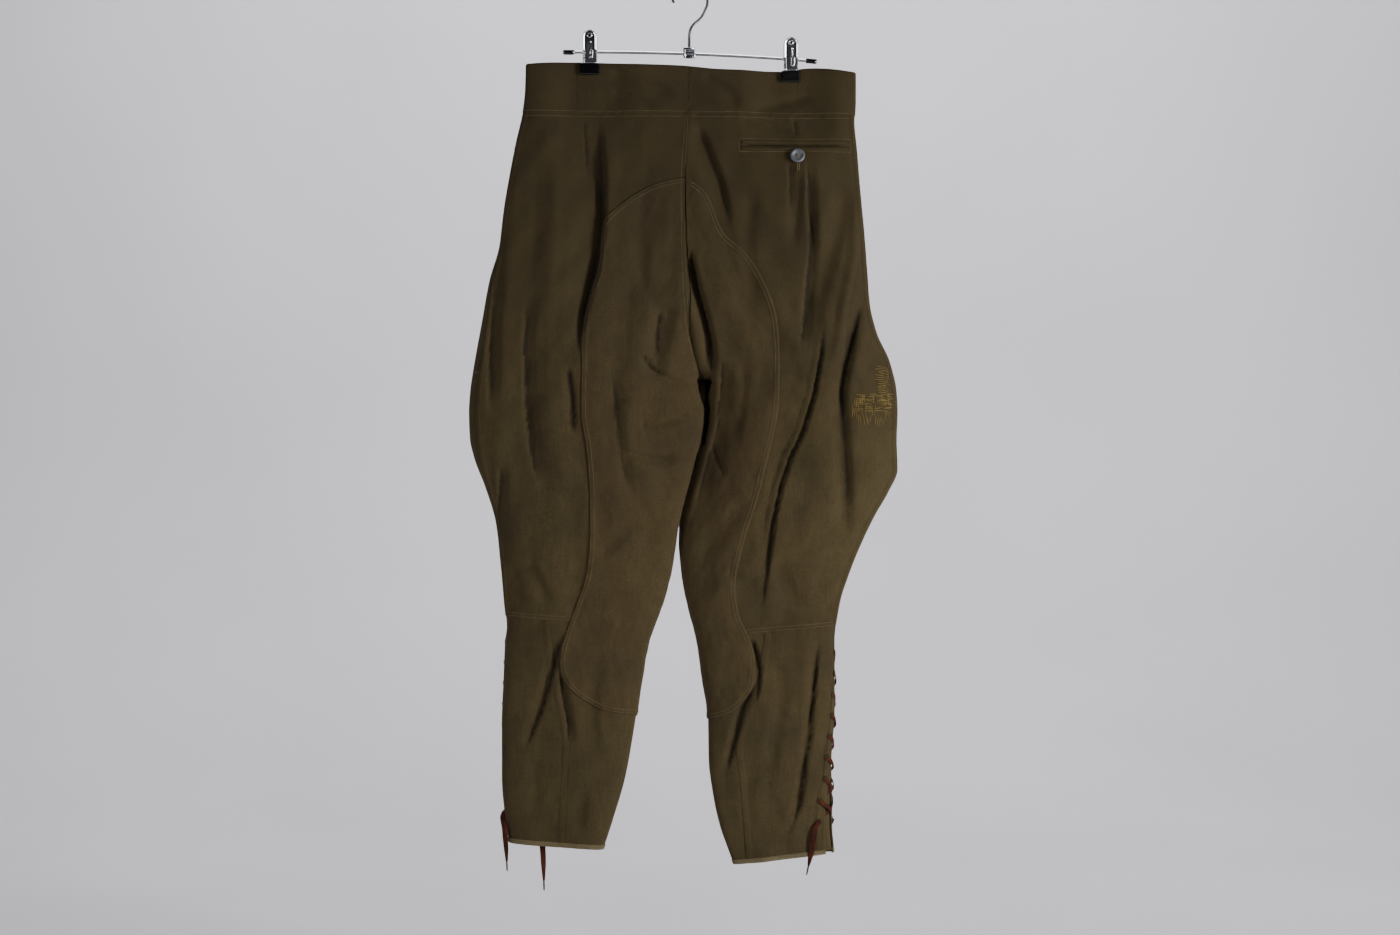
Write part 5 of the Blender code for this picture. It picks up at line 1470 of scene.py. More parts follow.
def lathe(profile, sides):
    """Points and faces of a solid turned from (radius, height) rows about z."""
    rows = through(profile, 0.35)
    rows = rows[(rows[:, 0] > 1e-6)]
    angles = np.linspace(0, math.tau, sides, endpoint=False)
    rings = np.stack([
        rows[:, :1] * np.cos(angles), rows[:, :1] * np.sin(angles), np.repeat(rows[:, 1:], sides, axis=1),
    ], axis=-1).reshape(-1, 3)
    return rings, tube_faces(len(rows), sides)


def frame_on(leg, level, arc):
    """A place on the cloth and three directions there: across, up and out."""
    place, out = on_net(leg, np.array([level]), np.array([arc]))
    out = out[0]
    across_ = unit(np.cross((0, 0, 1.0), out))
    return place[0], across_, np.cross(out, across_), out


def make_button(node, leg, level, x, front):
    place, right, up, out = frame_on(leg, level, arc_at_x(leg, level, x, front))
    base = place + out * BUTTON_LIFT
    rings, faces = lathe(BUTTON_PROFILE, 48)
    points = base + rings[:, :1] * right + rings[:, 1:2] * up + rings[:, 2:] * out
    made = piece(node + "_disc", points, faces, "button", "grey_button", [node])
    made.data.set_sharp_from_angle(angle=math.radians(50))
    for a, b in ((1, 1), (1, -1)):
        run = unit(right * a + up * b)
        for aside in (-0.5, 0.0, 0.5):
            centre = base + out * 1.35 + np.cross(out, run) * aside
            THREADS[leg].append(one_thread(centre, run, out, 5.2, 0.75))


make_button("pocket_button", "right", 216, 126, False)
make_button("waist_button", "left", 136, -16, True)
print("buttons, mm across:", 2 * max(row[0] for row in BUTTON_PROFILE))

# %% [markdown]
# A hole worn in the right thigh has been darned with a pale yellow thread that didn't match. The
# rows were worked by hand, so they wander: long strokes across the top, short ones down below.

# %% Darn the hole
DARN_THREADS = []


def darn(leg, x, drop, angle, length):
    """One thread stroke on the back, centred on a place."""
    dx, dd = math.cos(angle) * length / 2, math.sin(angle) * length / 2
    line = [(x - dx + 2 * dx * t, drop - dd + 2 * dd * t) for t in np.linspace(0, 1, 5)]
    places = np.array([seat_of(leg, *place) for place in line])
    points, outward = on_net(leg, places[:, 0], places[:, 1], 0.35)
    run = unit(points[-1] - points[0])
    DARN_THREADS.append(one_thread(points[2], run, outward[2], length, 0.55))


darner = np.random.default_rng(21)
for row in range(14):  # a ladder of strokes across, at the top
    drop = 463 + row * 2.5
    darn(
        "right", 222 + row * 0.25 + darner.uniform(-2, 2), drop,
        darner.normal(0.06, 0.1), darner.uniform(8, 15),
    )
    darn("right", 231 + darner.uniform(-2, 2), drop + 1.2, darner.normal(0.1, 0.12), darner.uniform(5, 8))
for row in range(9):  # the thick of it, worked across
    drop = 496 + row * 2.3
    for x in (198, 210, 222, 233):
        darn(
            "right", x + darner.uniform(-4, 4), drop + darner.uniform(-0.8, 0.8),
            darner.normal(0.03, 0.08), darner.uniform(8, 15),
        )
for col in range(21):  # and worked down
    x = 190 + col * 2.25
    darn("right", x, darner.uniform(500, 512), darner.normal(1.54, 0.07), darner.uniform(8, 14))
    darn(
        "right", x + darner.uniform(-0.6, 0.6), darner.uniform(516, 530),
        darner.normal(1.54, 0.1), darner.uniform(7, 14),
    )
for _ in range(9):  # a smaller mend on the other leg's outer edge
    darn("left", darner.uniform(-252, -245), darner.uniform(467, 476), darner.normal(0.6, 0.5), 4.0)
print("darning strokes:", len(DARN_THREADS))

# %% [markdown]
# Each calf laces up the outer side through nine pairs of eyelets. Two flat laces cross in the
# slit, one over the other, and their ends hang from the last pair. The eyelets are worked in
# thread: a ring of close stitches round a hole.

# %% Lace the calves
EYELETS = 9
EYELET_INSET = 8.0
EYELET_TOP = {"left": 792.0, "right": 806.0}
EYELET_PITCH = 24.6
UNDER_CLOTH = -1.75  # between the slit's edge and the tongue
OVER_CLOTH = 1.2
LACE_STRANDS = (("a", "back", 0.1), ("b", "front", 1.3))  # name, first side, height over the other
STRAND_STEPS = 14


def eyelet(leg, index, side):
    """(level, distance round) of one eyelet."""
    level = EYELET_TOP[leg] + EYELET_PITCH * index
    if side == "back":
        return level, slit_arc(SLIT_BACK, leg, level) - EYELET_INSET
    return level, slit_arc(SLIT_FRONT, leg, level) + EYELET_INSET


def make_strand(node, leg, first_side, height):
    sides = ("back", "front") if first_side == "back" else ("front", "back")
    corners = [eyelet(leg, index, sides[index % 2]) for index in range(EYELETS)]
    rows = []
    for (l0, a0), (l1, a1) in zip(corners[:-1], corners[1:]):
        for t in np.linspace(0, 1, STRAND_STEPS, endpoint=False):
            over = 1 - ease((t - 0.5) / 0.22)  # it dives under the far edge, and comes up through the eyelet
            lift = UNDER_CLOTH + (OVER_CLOTH - UNDER_CLOTH) * over + height * over * math.sin(math.pi * t)
            rows.append((l0 + (l1 - l0) * t, a0 + (a1 - a0) * t, lift))
    rows.append((*corners[-1], 1.15))
    rows = np.array(rows)
    path, outward = on_net(leg, rows[:, 0], rows[:, 1], rows[:, 2])
    smooth = path.copy()
    smooth[1:-1] = (path[:-2] + 2 * path[1:-1] + path[2:]) / 4
    run = unit(np.gradient(smooth, axis=0))
    wide = np.cross(outward, run)
    turn = np.sin(np.arange(len(rows)) / STRAND_STEPS * math.tau * 0.5 + 0.6) * 0.16
    wide = wide * np.cos(turn)[:, None] + outward * np.sin(turn)[:, None]
    points, faces = ribbon(smooth, wide, LACE_WIDTH * 0.92, LACE_THICK)
    piece(node + "_flat", points, faces, "lace", "brown_lace", [node])
    return float(steps_of(smooth).sum())


def make_eyelets(leg):
    rings = []
    for side in ("back", "front"):
        for index in range(EYELETS):
            place, right, up, out = frame_on(leg, *eyelet(leg, index, side))
            for angle in np.linspace(0, math.tau, 14, endpoint=False):
                radial = right * math.cos(angle) + up * math.sin(angle)
                rings.append(one_thread(place + radial * 2.9 + out * 0.75, radial, out, 2.6, 1.1))
    gather(f"eyelets_{leg}", rings, "eyelet", "khaki_cloth")


for leg in ROWS:
    lengths = [make_strand(f"lacing_{leg}_{name}", leg, side, lift) for name, side, lift in LACE_STRANDS]
    make_eyelets(leg)
    print("lacing on the", leg, "leg, mm:", [round(length) for length in lengths])

# %% [markdown]
# The fly closes down the front under a flap on the wearer's left. It hides its own buttons, so it is
# one plain strip with a row of stitching. All the thread then becomes one piece for each leg, one
# for the rows that have dulled and one for the darning.

# %% Close the fly and cut the thread
FLY_BOTTOM = 384.0
FLY_FLAT = (44, 222)
FRONT_GUIDE = [(165, 38), (420, 38)]  # width of the flap


def make_fly():
    levels = np.linspace(WAIST_SEAM + 0.6, FLY_BOTTOM, 92)
    arcs = []
    for level in levels:
        end = ends_of("left", level)[1] - SEAM_CRACK
        seam = curve(CENTRE, level)
        edge = arc_at_x("left", level, seam - curve(FRONT_GUIDE, level), True)
        narrow = ease((level - 340) / 44.0) ** 2
        arcs.append(patch_columns(end, edge + (end - edge - 5) * narrow, 26))
    arcs = np.array(arcs)
    grid = np.repeat(levels[:, None], arcs.shape[1], axis=1)
    lift = patch_lift(np.abs(arcs - arcs[:, [0]]))
    hang(shell("fly_flap", "left", grid, arcs, lift, 1.0), "fly_flap", *FLY_FLAT)
    row = [(level, arc[0] + 4.0) for level, arc in zip(levels, arcs) if arc[-1] - arc[0] > 8]
    sew("left", row, 1.5)


make_fly()
for leg, parts in THREADS.items():
    gather(f"stitching_{leg}", parts, "thread", "khaki_tape")
gather("stitching_dull", DULL_THREADS, "eyelet", "khaki_cloth")
gather("darning", DARN_THREADS, "darn", "khaki_tape")
print("stitches:", {leg: sum(len(part[0]) // 10 for part in parts) for leg, parts in THREADS.items()})

# %% [markdown]
# The hanger's rod, hook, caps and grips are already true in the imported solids, so they stay. The
# pressed parts have more shape than their solids: each clip leaf has a rolled rim, a rib down the
# middle and a ring at its top, and the saddle is a strip bent round the rod in two ears.

# %% Keep the plain parts
PRESSED = {"hanger_saddle": "saddle"}
for name in frame["nodes"]:
    if name.startswith(("clip_left", "clip_right")):
        PRESSED[name] = "leaf"
    elif name.startswith(("hanger_rod", "hanger_hook")):
        FINISH[frame["nodes"][name].name] = "chrome"
    elif name.startswith(("rod_cap", "clip_grip")):
        FINISH[frame["nodes"][name].name] = "vinyl"
print("pressed parts:", sorted(PRESSED))

# %% [markdown]
# A leaf is a grid over the solid's outer face. Its height comes from the distance to the edge, for
# the rim, and from the distance to the middle, for the rib. Two ears carry it on the rod.

# %% Press the clips
ROD_LINE = (93.2, 0.0366, 0.00015)  # its drop in the middle, its slope and how far it bows
LEAF_HALF, LEAF_WALL = 8.25, 1.2
LEAF_TOP, LEAF_FOOT = 25.0, 13.7  # above and below the rod
LEAF_FACE = [  # drop from the rod, depth
    (-25.0, 8.0), (-18.0, 7.6), (-8.0, 5.6), (-2.0, 4.4), (4.0, 4.4), (13.7, 4.6),
]
RING_UP = 18.6  # the ring's middle, above the rod


def rod_drop(x):
    return ROD_LINE[0] + ROD_LINE[1] * x + ROD_LINE[2] * x * x


def block(low, high):
    """Points and faces of a closed block between two corners."""
    corners = [(x, y, z) for x in (low[0], high[0]) for y in (low[1], high[1]) for z in (low[2], high[2])]
    faces = [(0, 1, 3, 2), (4, 6, 7, 5), (0, 4, 5, 1), (2, 3, 7, 6), (0, 2, 6, 4), (1, 5, 7, 3)]
    return np.array(corners, float), [tuple(face) for face in faces]


def rounded_edges(made, width):
    bevel = made.modifiers.new("Rounded edges", "BEVEL")
    bevel.width = width * MM
    bevel.segments = 2
    bevel.limit_method = "ANGLE"
    bevel.angle_limit = math.radians(50)


def press_leaf(node, leg, sign):
    x, pivot = CLIP_X[leg], rod_drop(CLIP_X[leg])
    downs = np.linspace(-LEAF_TOP, LEAF_FOOT, 64)
    shares = np.linspace(-1, 1, 33)
    past = np.clip((-LEAF_TOP + LEAF_HALF - downs) / LEAF_HALF, 0, 0.985)
    half = LEAF_HALF * np.sqrt(1 - past**2)
    face = np.interp(downs, [row[0] for row in LEAF_FACE], [row[1] for row in LEAF_FACE])
    xs = half[:, None] * shares
    drops = np.repeat(downs[:, None], len(shares), axis=1)
    to_edge = half[:, None] * (1 - np.abs(shares))
    rim = 0.75 * np.exp(-(((to_edge - 0.9) / 0.8) ** 2))
    rib_run = ease((drops + 13) / 4) * ease((9.5 - drops) / 4)
    rib = 1.1 * np.exp(-((xs / 2.3) ** 2)) * rib_run
    dish = -0.5 * ease((2.6 - np.hypot(xs, drops + RING_UP)) / 1.2)
    outer = face[:, None] + LEAF_WALL + rim + rib + dish
    inner = np.repeat(face[:, None], len(shares), axis=1)
    heights = -(drops + pivot)
    sheets = [np.stack([xs + x, sign * depth, heights], axis=-1).reshape(-1, 3) for depth in (outer, inner)]
    rows, cols = drops.shape
    count = rows * cols
    faces = []
    for i in range(rows - 1):
        for j in range(cols - 1):
            a, b, c, d = i * cols + j, i * cols + j + 1, (i + 1) * cols + j + 1, (i + 1) * cols + j
            faces += [(a, b, c, d), (count + d, count + c, count + b, count + a)]
    grid = np.arange(count).reshape(rows, cols)
    border = [*grid[0], *grid[1:, -1], *grid[-1, -2::-1], *grid[-2:0:-1, 0]]
    for a, b in zip(border, border[1:] + border[:1]):
        faces.append((b, a, count + a, count + b))
    if sign > 0:
        faces = [corners[::-1] for corners in faces]
    solids = [(np.concatenate(sheets), faces)]
    ear = LEAF_HALF - 1.0 if sign < 0 else LEAF_HALF - 2.4
    for aside in (-ear, ear):
        near, far = sorted((sign * 5.0, -sign * 4.0))
        solids.append(block((x + aside - 0.5, near, -pivot - 5.5), (x + aside + 0.5, far, -pivot + 5.5)))
    ring, ring_faces = lathe([(1.7, -0.2), (1.6, 0.5), (2.1, 1.0), (2.7, 0.9), (3.1, 0.4), (3.2, -0.2)], 28)
    seat = float(np.interp(-RING_UP, downs, face)) + LEAF_WALL
    ring = np.stack([x + ring[:, 0], sign * (seat + ring[:, 2]), -(pivot - RING_UP) + ring[:, 1]], axis=-1)
    solids.append((ring, ring_faces))
    piece(node + "_leaf", *joined(solids), "chrome", "chrome", [node])


for name, kind in PRESSED.items():
    if kind == "leaf":
        press_leaf(name, name.split("_")[1], -1 if name.endswith("back") else 1)
centre = rod_drop(-1.0)
strip = [block((-8.0, -3.6, -98.0), (-5.0, 3.6, -87.5)), block((3.0, -3.6, -98.0), (6.0, 3.6, -87.5))]
strip += [block((-8.0, -3.6, -89.0), (6.0, 3.6, -86.0)), block((-8.0, 2.4, -98.0), (6.0, 3.6, -87.5))]
rounded_edges(piece("hanger_saddle_strip", *joined(strip), "chrome", "chrome", ["hanger_saddle"]), 0.6)
print("rod drops", round(centre, 1), "mm in the middle")

# %% [markdown]
# Every finish is built from nodes. A small helper adds a node with its sockets set, so each finish
# reads as a recipe.

# %% Node helpers
def fill(tree, node, sockets):
    """Links or sets the inputs of a node, by name or number."""
    for key, value in sockets.items():
        if isinstance(value, bpy.types.NodeSocket):
            tree.links.new(value, node.inputs[key])
        else:
            node.inputs[key].default_value = value


def add(tree, kind, sockets=None, **settings):
    made = tree.nodes.new(kind)
    for key, value in settings.items():
        setattr(made, key, value)
    fill(tree, made, sockets or {})
    return made


def linear(*channels):
    """An sRGB colour out of 255 as linear values with full alpha."""
    light = []
    for channel in channels:
        value = channel / 255
        light.append(value / 12.92 if value <= 0.04045 else ((value + 0.055) / 1.055) ** 2.4)
    return (*light, 1.0)


def maths(tree, operation, first, second=0.0, third=0.0):
    return add(tree, "ShaderNodeMath", {0: first, 1: second, 2: third}, operation=operation).outputs[0]


def vector_maths(tree, operation, *vectors):
    return add(tree, "ShaderNodeVectorMath", dict(enumerate(vectors)), operation=operation).outputs[0]


def blend_colour(tree, factor, first, second, how="MIX"):
    sockets = {0: factor, 6: first, 7: second}
    return add(tree, "ShaderNodeMix", sockets, data_type="RGBA", blend_type=how).outputs[2]


def shaded(tree, colour, value):
    """A colour multiplied by a value."""
    grey = add(tree, "ShaderNodeCombineColor", {0: value, 1: value, 2: value}).outputs[0]
    return blend_colour(tree, 1.0, colour, grey, "MULTIPLY")


def spread(tree, value, low, high, to_low=0.0, to_high=1.0):
    """A value mapped from one range to another, held at both ends."""
    sockets = {"Value": value, "From Min": low, "From Max": high, "To Min": to_low, "To Max": to_high}
    return add(tree, "ShaderNodeMapRange", sockets).outputs[0]


def noise(tree, vector, scale, detail=3.0, rough=0.55):
    sockets = {"Vector": vector, "Scale": scale, "Detail": detail, "Roughness": rough}
    return add(tree, "ShaderNodeTexNoise", sockets).outputs["Fac"]


def new_group(name, place, *masks):
    """A node group that takes a place and gives masks, with its input node and its output node."""
    tree = bpy.data.node_groups.new(name, "ShaderNodeTree")
    tree.interface.new_socket(place, in_out="INPUT", socket_type="NodeSocketVector")
    for mask in masks:
        tree.interface.new_socket(mask, in_out="OUTPUT", socket_type="NodeSocketFloat")
    return tree, tree.nodes.new("NodeGroupInput"), tree.nodes.new("NodeGroupOutput")


def use_group(tree, group, sockets):
    return add(tree, "ShaderNodeGroup", sockets, node_tree=group).outputs


def new_material(name):
    """A material with its tree, its shader and the places on the object."""
    material = bpy.data.materials.new(name)
    material.use_nodes = True
    tree = material.node_tree
    return material, tree, tree.nodes["Principled BSDF"], add(tree, "ShaderNodeTexCoord").outputs["Object"]


print("khaki as linear light:", [round(value, 4) for value in linear(66, 56, 38)])

# %% [markdown]
# The cloth is a heavy twill, with slanting ribs about a millimetre apart. The ribs are a wave across
# the cloth's own lay, broken up a little so that no rib is perfectly straight. The same group gives a
# height for the bump and a mask for painted shade in the grooves.

# %% Weave the twill
twill, give, take = new_group("twill", "Lay", "Height", "Groove")
RIB_PITCH, PICK_PITCH = 0.0011, 0.0009  # between ribs, and between the threads across them
parts = add(twill, "ShaderNodeSeparateXYZ", {0: give.outputs["Lay"]})
wander = noise(twill, give.outputs["Lay"], 260.0, 2.0)
slant = maths(twill, "MULTIPLY_ADD", parts.outputs["Y"], 1.5, parts.outputs["X"])
turns = maths(twill, "MULTIPLY_ADD", wander, 1.6, maths(twill, "MULTIPLY", slant, math.tau / RIB_PITCH))
rib = maths(twill, "SINE", turns)
steep = maths(twill, "MULTIPLY", parts.outputs["Y"], math.tau / PICK_PITCH)
pick = maths(twill, "SINE", steep)
fuzz = noise(twill, give.outputs["Lay"], 1900.0, 2.0, 0.7)
height = maths(twill, "MULTIPLY_ADD", pick, 0.25, rib)
height = maths(twill, "MULTIPLY_ADD", fuzz, 1.2, height)
twill.links.new(height, take.inputs["Height"])
# The Groove mask is painted shade: it darkens the colour in the grooves between the ribs.
twill.links.new(spread(twill, rib, -1.0, 0.2, 1.0, 0.0), take.inputs["Groove"])
print("twill ribs, mm apart:", RIB_PITCH / MM)

# %% [markdown]
# Old cloth is never one colour. Broad fading, smaller blotches and a fine fleck each have their own
# size. The group gives one value each for how faded, how dirty and how flecked the cloth is. The fade
# and the dirt also follow height, so the cloth is paler lower down and darker towards the waist.

# %% Age the cloth
ageing, give, take = new_group("ageing", "Place", "Fade", "Dirt", "Fleck")
place = give.outputs["Place"]
broad = noise(ageing, place, 4.5, 2.0)
blotch = noise(ageing, place, 60.0, 4.0, 0.65)
streak = noise(ageing, vector_maths(ageing, "MULTIPLY", place, (1.0, 1.0, 0.12)), 330.0, 3.0, 0.7)
fade = maths(ageing, "MULTIPLY_ADD", blotch, 0.35, maths(ageing, "MULTIPLY", broad, 0.45))
fade = maths(ageing, "MULTIPLY_ADD", streak, 0.4, fade)
height = add(ageing, "ShaderNodeSeparateXYZ", {0: place}).outputs["Z"]
paler_lower_down = spread(ageing, height, -0.22, -0.5, 0.3, 1.0)  # fading is weakest near the waist and grows lower down
ageing.links.new(maths(ageing, "MULTIPLY", spread(ageing, fade, 0.4, 0.82), paler_lower_down), take.inputs["Fade"])
dirt = noise(ageing, vector_maths(ageing, "ADD", place, (3.1, 7.7, 1.3)), 14.0, 5.0, 0.65)
# The dirt mask also rises with height, so the cloth gets darker towards the waist.
darker_higher_up = spread(ageing, height, -0.55, -0.2, 0.0, 0.55)
ageing.links.new(maths(ageing, "ADD", spread(ageing, dirt, 0.45, 0.8), darker_higher_up), take.inputs["Dirt"])
ageing.links.new(noise(ageing, place, 900.0, 2.0, 0.8), take.inputs["Fleck"])
print("ageing gives:", [socket.name for socket in take.inputs if socket.name])

# %% [markdown]
# Some marks sit at fixed places: two reddish stains down the left patch and one on the right leg.
# Each is a soft oval round a place on the cloth.

# %% Place the stains
STAINS = [  # x, drop, half width, half height, as millimetres
    (-106, 512, 16, 78), (-80, 600, 30, 60), (60, 560, 34, 90),
]


def oval(tree, place, x, drop, wide, tall):
    """1 at the middle of an oval on the cloth, falling softly to 0 at its edge."""
    moved = vector_maths(tree, "ADD", place, (-x * MM, 0, drop * MM))
    scaled = vector_maths(tree, "MULTIPLY", moved, (1 / (wide * MM), 0.0, 1 / (tall * MM)))
    away = add(tree, "ShaderNodeVectorMath", {0: scaled}, operation="LENGTH").outputs["Value"]
    return spread(tree, away, 0.35, 1.25, 1.0, 0.0)


stains, give, take = new_group("stains", "Place", "Stain")
place = give.outputs["Place"]
wobble = add(stains, "ShaderNodeTexNoise", {"Vector": place, "Scale": 24.0, "Detail": 3.0}).outputs["Color"]
shifted = vector_maths(stains, "MULTIPLY_ADD", wobble, (0.03, 0.03, 0.03), place)
total = None
for stain in STAINS:
    mark = oval(stains, shifted, *stain)
    total = mark if total is None else maths(stains, "MAXIMUM", total, mark)
stains.links.new(total, take.inputs["Stain"])
print("placed stains:", len(STAINS))

# %% [markdown]
# The cloths share one recipe: a base colour that fades and darkens, reddish stains, painted shade in
# the grooves between ribs, in the hollows of the folds and in the gap under the fork, ridges painted
# paler, partly as wear and partly as painted highlight, and a soft sheen from the nap. The patch is
# the same twill but rubbed smoother and redder, and the hem tape is a paler cotton.

# %% Make the cloths
def cloth_material(name, colours, stain_share, rib_depth, sheen):
    base, faded, dirty, painted_crease_shade, stained = (linear(*colour) for colour in colours)
    material, tree, shader, place = new_material(name)
    lay = add(tree, "ShaderNodeAttribute", attribute_name="cloth_place").outputs["Vector"]
    weave = use_group(tree, twill, {"Lay": lay})
    age = use_group(tree, ageing, {"Place": place})
    mark = use_group(tree, stains, {"Place": place})["Stain"]
    colour = blend_colour(tree, age["Fade"], base, faded)
    colour = blend_colour(tree, maths(tree, "MULTIPLY", age["Dirt"], 0.55), colour, dirty)
    colour = blend_colour(tree, maths(tree, "MULTIPLY", mark, stain_share), colour, stained)
    # Painted shade: where the crease value is high, in the hollows of the folds and in the gap under the
    # fork, the colour is darkened towards the crease shade colour.
    crease = add(tree, "ShaderNodeAttribute", attribute_name="crease").outputs["Fac"]
    colour = blend_colour(tree, spread(tree, crease, 0.2, 0.9, 0.0, 0.8), colour, painted_crease_shade)
    # On ridges the colour is painted paler, partly as wear and partly as painted highlight.
    colour = blend_colour(tree, spread(tree, crease, -0.1, -0.9, 0.0, 0.35), colour, faded)
    fleck = spread(tree, age["Fleck"], 0.3, 0.7, 0.74, 1.28)
    # Painted shade in the twill's grooves: the colour is multiplied down to 0.72 there.
    groove = spread(tree, weave["Groove"], 0.0, 1.0, 1.0, 0.72)
    ribs = {"Height": weave["Height"], "Strength": 0.55, "Distance": rib_depth}
    nap = {
        "Height": noise(tree, place, 320.0, 4.0, 0.65), "Strength": 0.35, "Distance": 0.0012,
        "Normal": add(tree, "ShaderNodeBump", ribs).outputs[0],
    }
    fill(tree, shader, {
        "Base Color": shaded(tree, colour, maths(tree, "MULTIPLY", fleck, groove)),
        "Roughness": spread(tree, age["Dirt"], 0.0, 1.0, 0.93, 0.82),
        "Normal": add(tree, "ShaderNodeBump", nap).outputs[0],
        "Specular IOR Level": 0.22,
        "Sheen Weight": sheen,
        "Sheen Roughness": 0.45,
        "Sheen Tint": linear(190, 176, 140),
    })
    return material


CLOTHS = {  # base, faded, dirty, painted crease shade and stained colour, then the stain's share, rib depth and sheen
    "cloth": (((61, 51, 28), (79, 68, 43), (43, 35, 17), (30, 23, 13), (62, 48, 29)), 0.3, 0.00018, 0.06),
    "patch": (((62, 52, 29), (78, 66, 42), (45, 36, 19), (30, 22, 13), (64, 49, 30)), 0.35, 0.00014, 0.06),
    "tape": (((92, 83, 58), (114, 103, 76), (74, 62, 40), (60, 50, 32), (74, 56, 38)), 0.2, 0.00008, 0.05),
}
MATERIALS = {finish: cloth_material("khaki_" + finish, *looks) for finish, looks in CLOTHS.items()}
print("cloths:", list(MATERIALS))

# %% [markdown]
# Thread, lace and tags are small, so their detail is simple: thread varies along its length, the
# flat lace is a coarse braid of red-brown cotton, and the tags are worn dark metal.

# %% Make the threads and laces
def thread_material(name, dark, pale, twist, rough=0.8, metallic=0.0, depth=0.00012):
    material, tree, shader, place = new_material(name)
    tone = spread(tree, noise(tree, place, 90.0, 3.0), 0.35, 0.68)
    fine = noise(tree, place, twist, 2.0, 0.7)
    grain = spread(tree, fine, 0.35, 0.65, 0.75, 1.2)
    bump = add(tree, "ShaderNodeBump", {"Height": fine, "Strength": 0.6, "Distance": depth})
    fill(tree, shader, {
        "Base Color": shaded(tree, blend_colour(tree, tone, dark, pale), grain),
        "Normal": bump.outputs[0],
        "Roughness": rough,
        "Metallic": metallic,
        "Specular IOR Level": 0.2,
    })
    return material


MATERIALS["thread"] = thread_material("pale_thread", linear(94, 82, 58), linear(126, 112, 80), 2600.0)
MATERIALS["eyelet"] = thread_material("eyelet_thread", linear(52, 42, 28), linear(70, 58, 38), 2600.0)
MATERIALS["darn"] = thread_material("darning_thread", linear(112, 94, 46), linear(150, 130, 72), 2600.0)
MATERIALS["lace"] = thread_material(
    "brown_lace", linear(44, 17, 8), linear(78, 34, 15), 1300.0, 0.85, depth=0.0003
)
MATERIALS["tag"] = thread_material("lace_tag", linear(52, 42, 34), linear(110, 92, 74), 300.0, 0.38, 0.8)
print("threads:", [name for name in MATERIALS if name not in ("cloth", "patch", "tape")])

# %% [markdown]
# Chrome is nearly a mirror, with a faint haze of handling. The vinyl is a glossy black that has
# dulled in patches, and the buttons are a soft grey metal with rubbed rims.

# %% Make the hard finishes
def hard_material(name, base, rubbed, rough, metallic, haze, dents):
    material, tree, shader, place = new_material(name)
    worn = spread(tree, noise(tree, place, 120.0, 4.0, 0.6), 0.4, 0.7)
    dent = {"Height": noise(tree, place, 260.0, 3.0), "Strength": dents, "Distance": 0.0003}
    fill(tree, shader, {
        "Base Color": blend_colour(tree, worn, linear(*base), linear(*rubbed)),
        "Roughness": spread(tree, noise(tree, place, 60.0, 3.0), 0.35, 0.7, rough, rough + haze),
        "Normal": add(tree, "ShaderNodeBump", dent).outputs[0],
        "Metallic": metallic,
    })
    return material


MATERIALS["chrome"] = hard_material("chrome", (214, 216, 220), (196, 198, 202), 0.07, 1.0, 0.1, 0.3)
MATERIALS["vinyl"] = hard_material("black_vinyl", (3, 3, 3), (7, 7, 7), 0.12, 0.0, 0.06, 0.04)
MATERIALS["button"] = hard_material("grey_button", (78, 81, 85), (104, 107, 112), 0.4, 0.3, 0.15, 0.05)

dressed = 0
for thing in bpy.data.objects:
    if thing.name in FINISH:
        thing.data.materials.clear()
        thing.data.materials.append(MATERIALS[FINISH[thing.name]])
        dressed += 1
print("pieces dressed:", dressed)

# %% [markdown]
# The breeches hang in front of a pale sweep of paper with a soft light on each side, a thin strip
# in front for the chrome to mirror, and one light above and behind. The sweep bends up from the
# floor well behind them, so no edge shows.

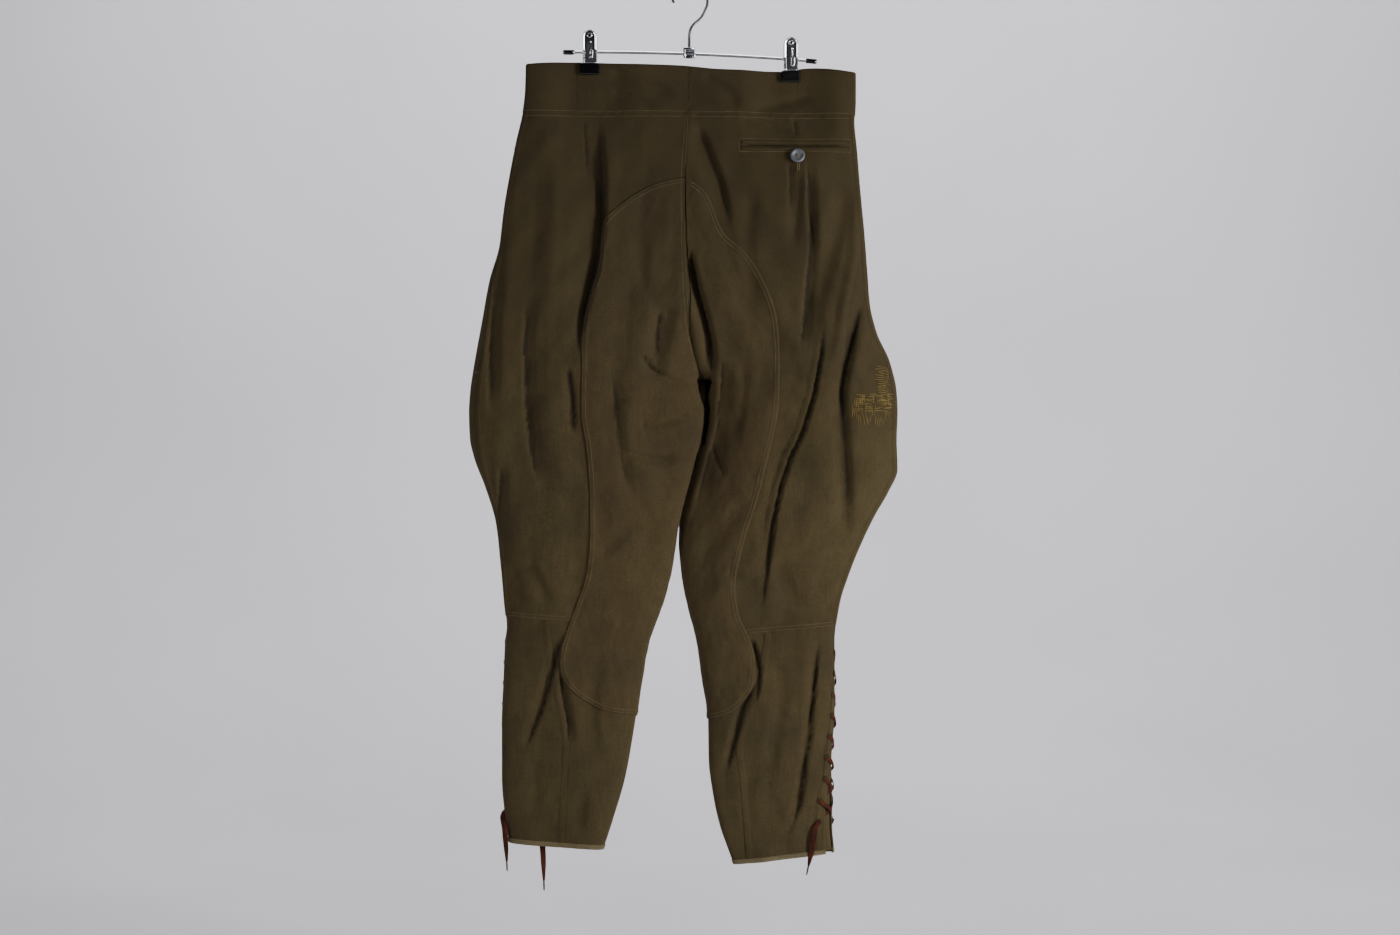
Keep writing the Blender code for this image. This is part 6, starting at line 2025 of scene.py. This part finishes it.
# %% Set up the studio
FLOOR_Z = -1.25
PAPER_HALF = 6.0
profile = [(-4.0, 0.0), (1.2, 0.0), (1.7, 0.05), (2.1, 0.2), (2.4, 0.5), (2.5, 0.9), (2.5, 5.0)]
rows = through(profile, 0.12)
points = [(x, y, FLOOR_Z + z) for y, z in rows for x in (-PAPER_HALF, PAPER_HALF)]
faces = [(2 * i, 2 * i + 1, 2 * i + 3, 2 * i + 2) for i in range(len(rows) - 1)]
paper_data = bpy.data.meshes.new("paper")
paper_data.from_pydata(points, [], faces)
paper_data.shade_smooth()
paper = bpy.data.objects.new("paper", paper_data)
bpy.context.scene.collection.objects.link(paper)

paper_material, tree, shader, place = new_material("paper")
tone = spread(tree, noise(tree, place, 1.5, 2.0), 0.3, 0.7)
paper_tone = blend_colour(tree, tone, linear(222, 220, 226), linear(230, 228, 234))
fill(tree, shader, {"Base Color": paper_tone, "Roughness": 0.9})
paper_data.materials.append(paper_material)


def softbox(name, location, target, size, power):
    data = bpy.data.lights.new(name, "AREA")
    data.shape = "RECTANGLE"
    data.size, data.size_y = size
    data.energy = power
    made = bpy.data.objects.new(name, data)
    made.location = location
    aim = Vector(target) - Vector(location)
    made.rotation_mode = "QUATERNION"
    made.rotation_quaternion = aim.to_track_quat("-Z", "Y")
    bpy.context.scene.collection.objects.link(made)


softbox("key_right", (2.3, -1.5, -0.35), (0.0, 0.0, -0.55), (0.6, 0.9), 86)
softbox("key_left", (-2.3, -1.4, -0.7), (0.0, 0.0, -0.6), (0.6, 1.0), 19)
softbox("strip", (0.62, -2.4, 0.5), (0.0, 0.0, -0.3), (0.1, 1.4), 7)
softbox("paper_light", (0.0, 0.9, 1.5), (0.0, 2.2, -0.6), (3.0, 0.8), 62)

world = bpy.data.worlds.new("studio")
world.use_nodes = True
sky = world.node_tree
toward = add(sky, "ShaderNodeTexCoord").outputs["Generated"]
height = add(sky, "ShaderNodeSeparateXYZ", {0: toward}).outputs["Z"]
sky_tone = blend_colour(sky, spread(sky, height, -0.1, 0.5), linear(120, 119, 124), linear(240, 238, 246))
fill(sky, sky.nodes["Background"], {"Color": sky_tone, "Strength": 0.11})
bpy.context.scene.world = world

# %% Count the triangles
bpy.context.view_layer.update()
meshes = [thing.data for thing in bpy.data.objects if thing.type == "MESH" and thing.name in FINISH]
print("triangles:", sum(len(face.vertices) - 2 for mesh in meshes for face in mesh.polygons))
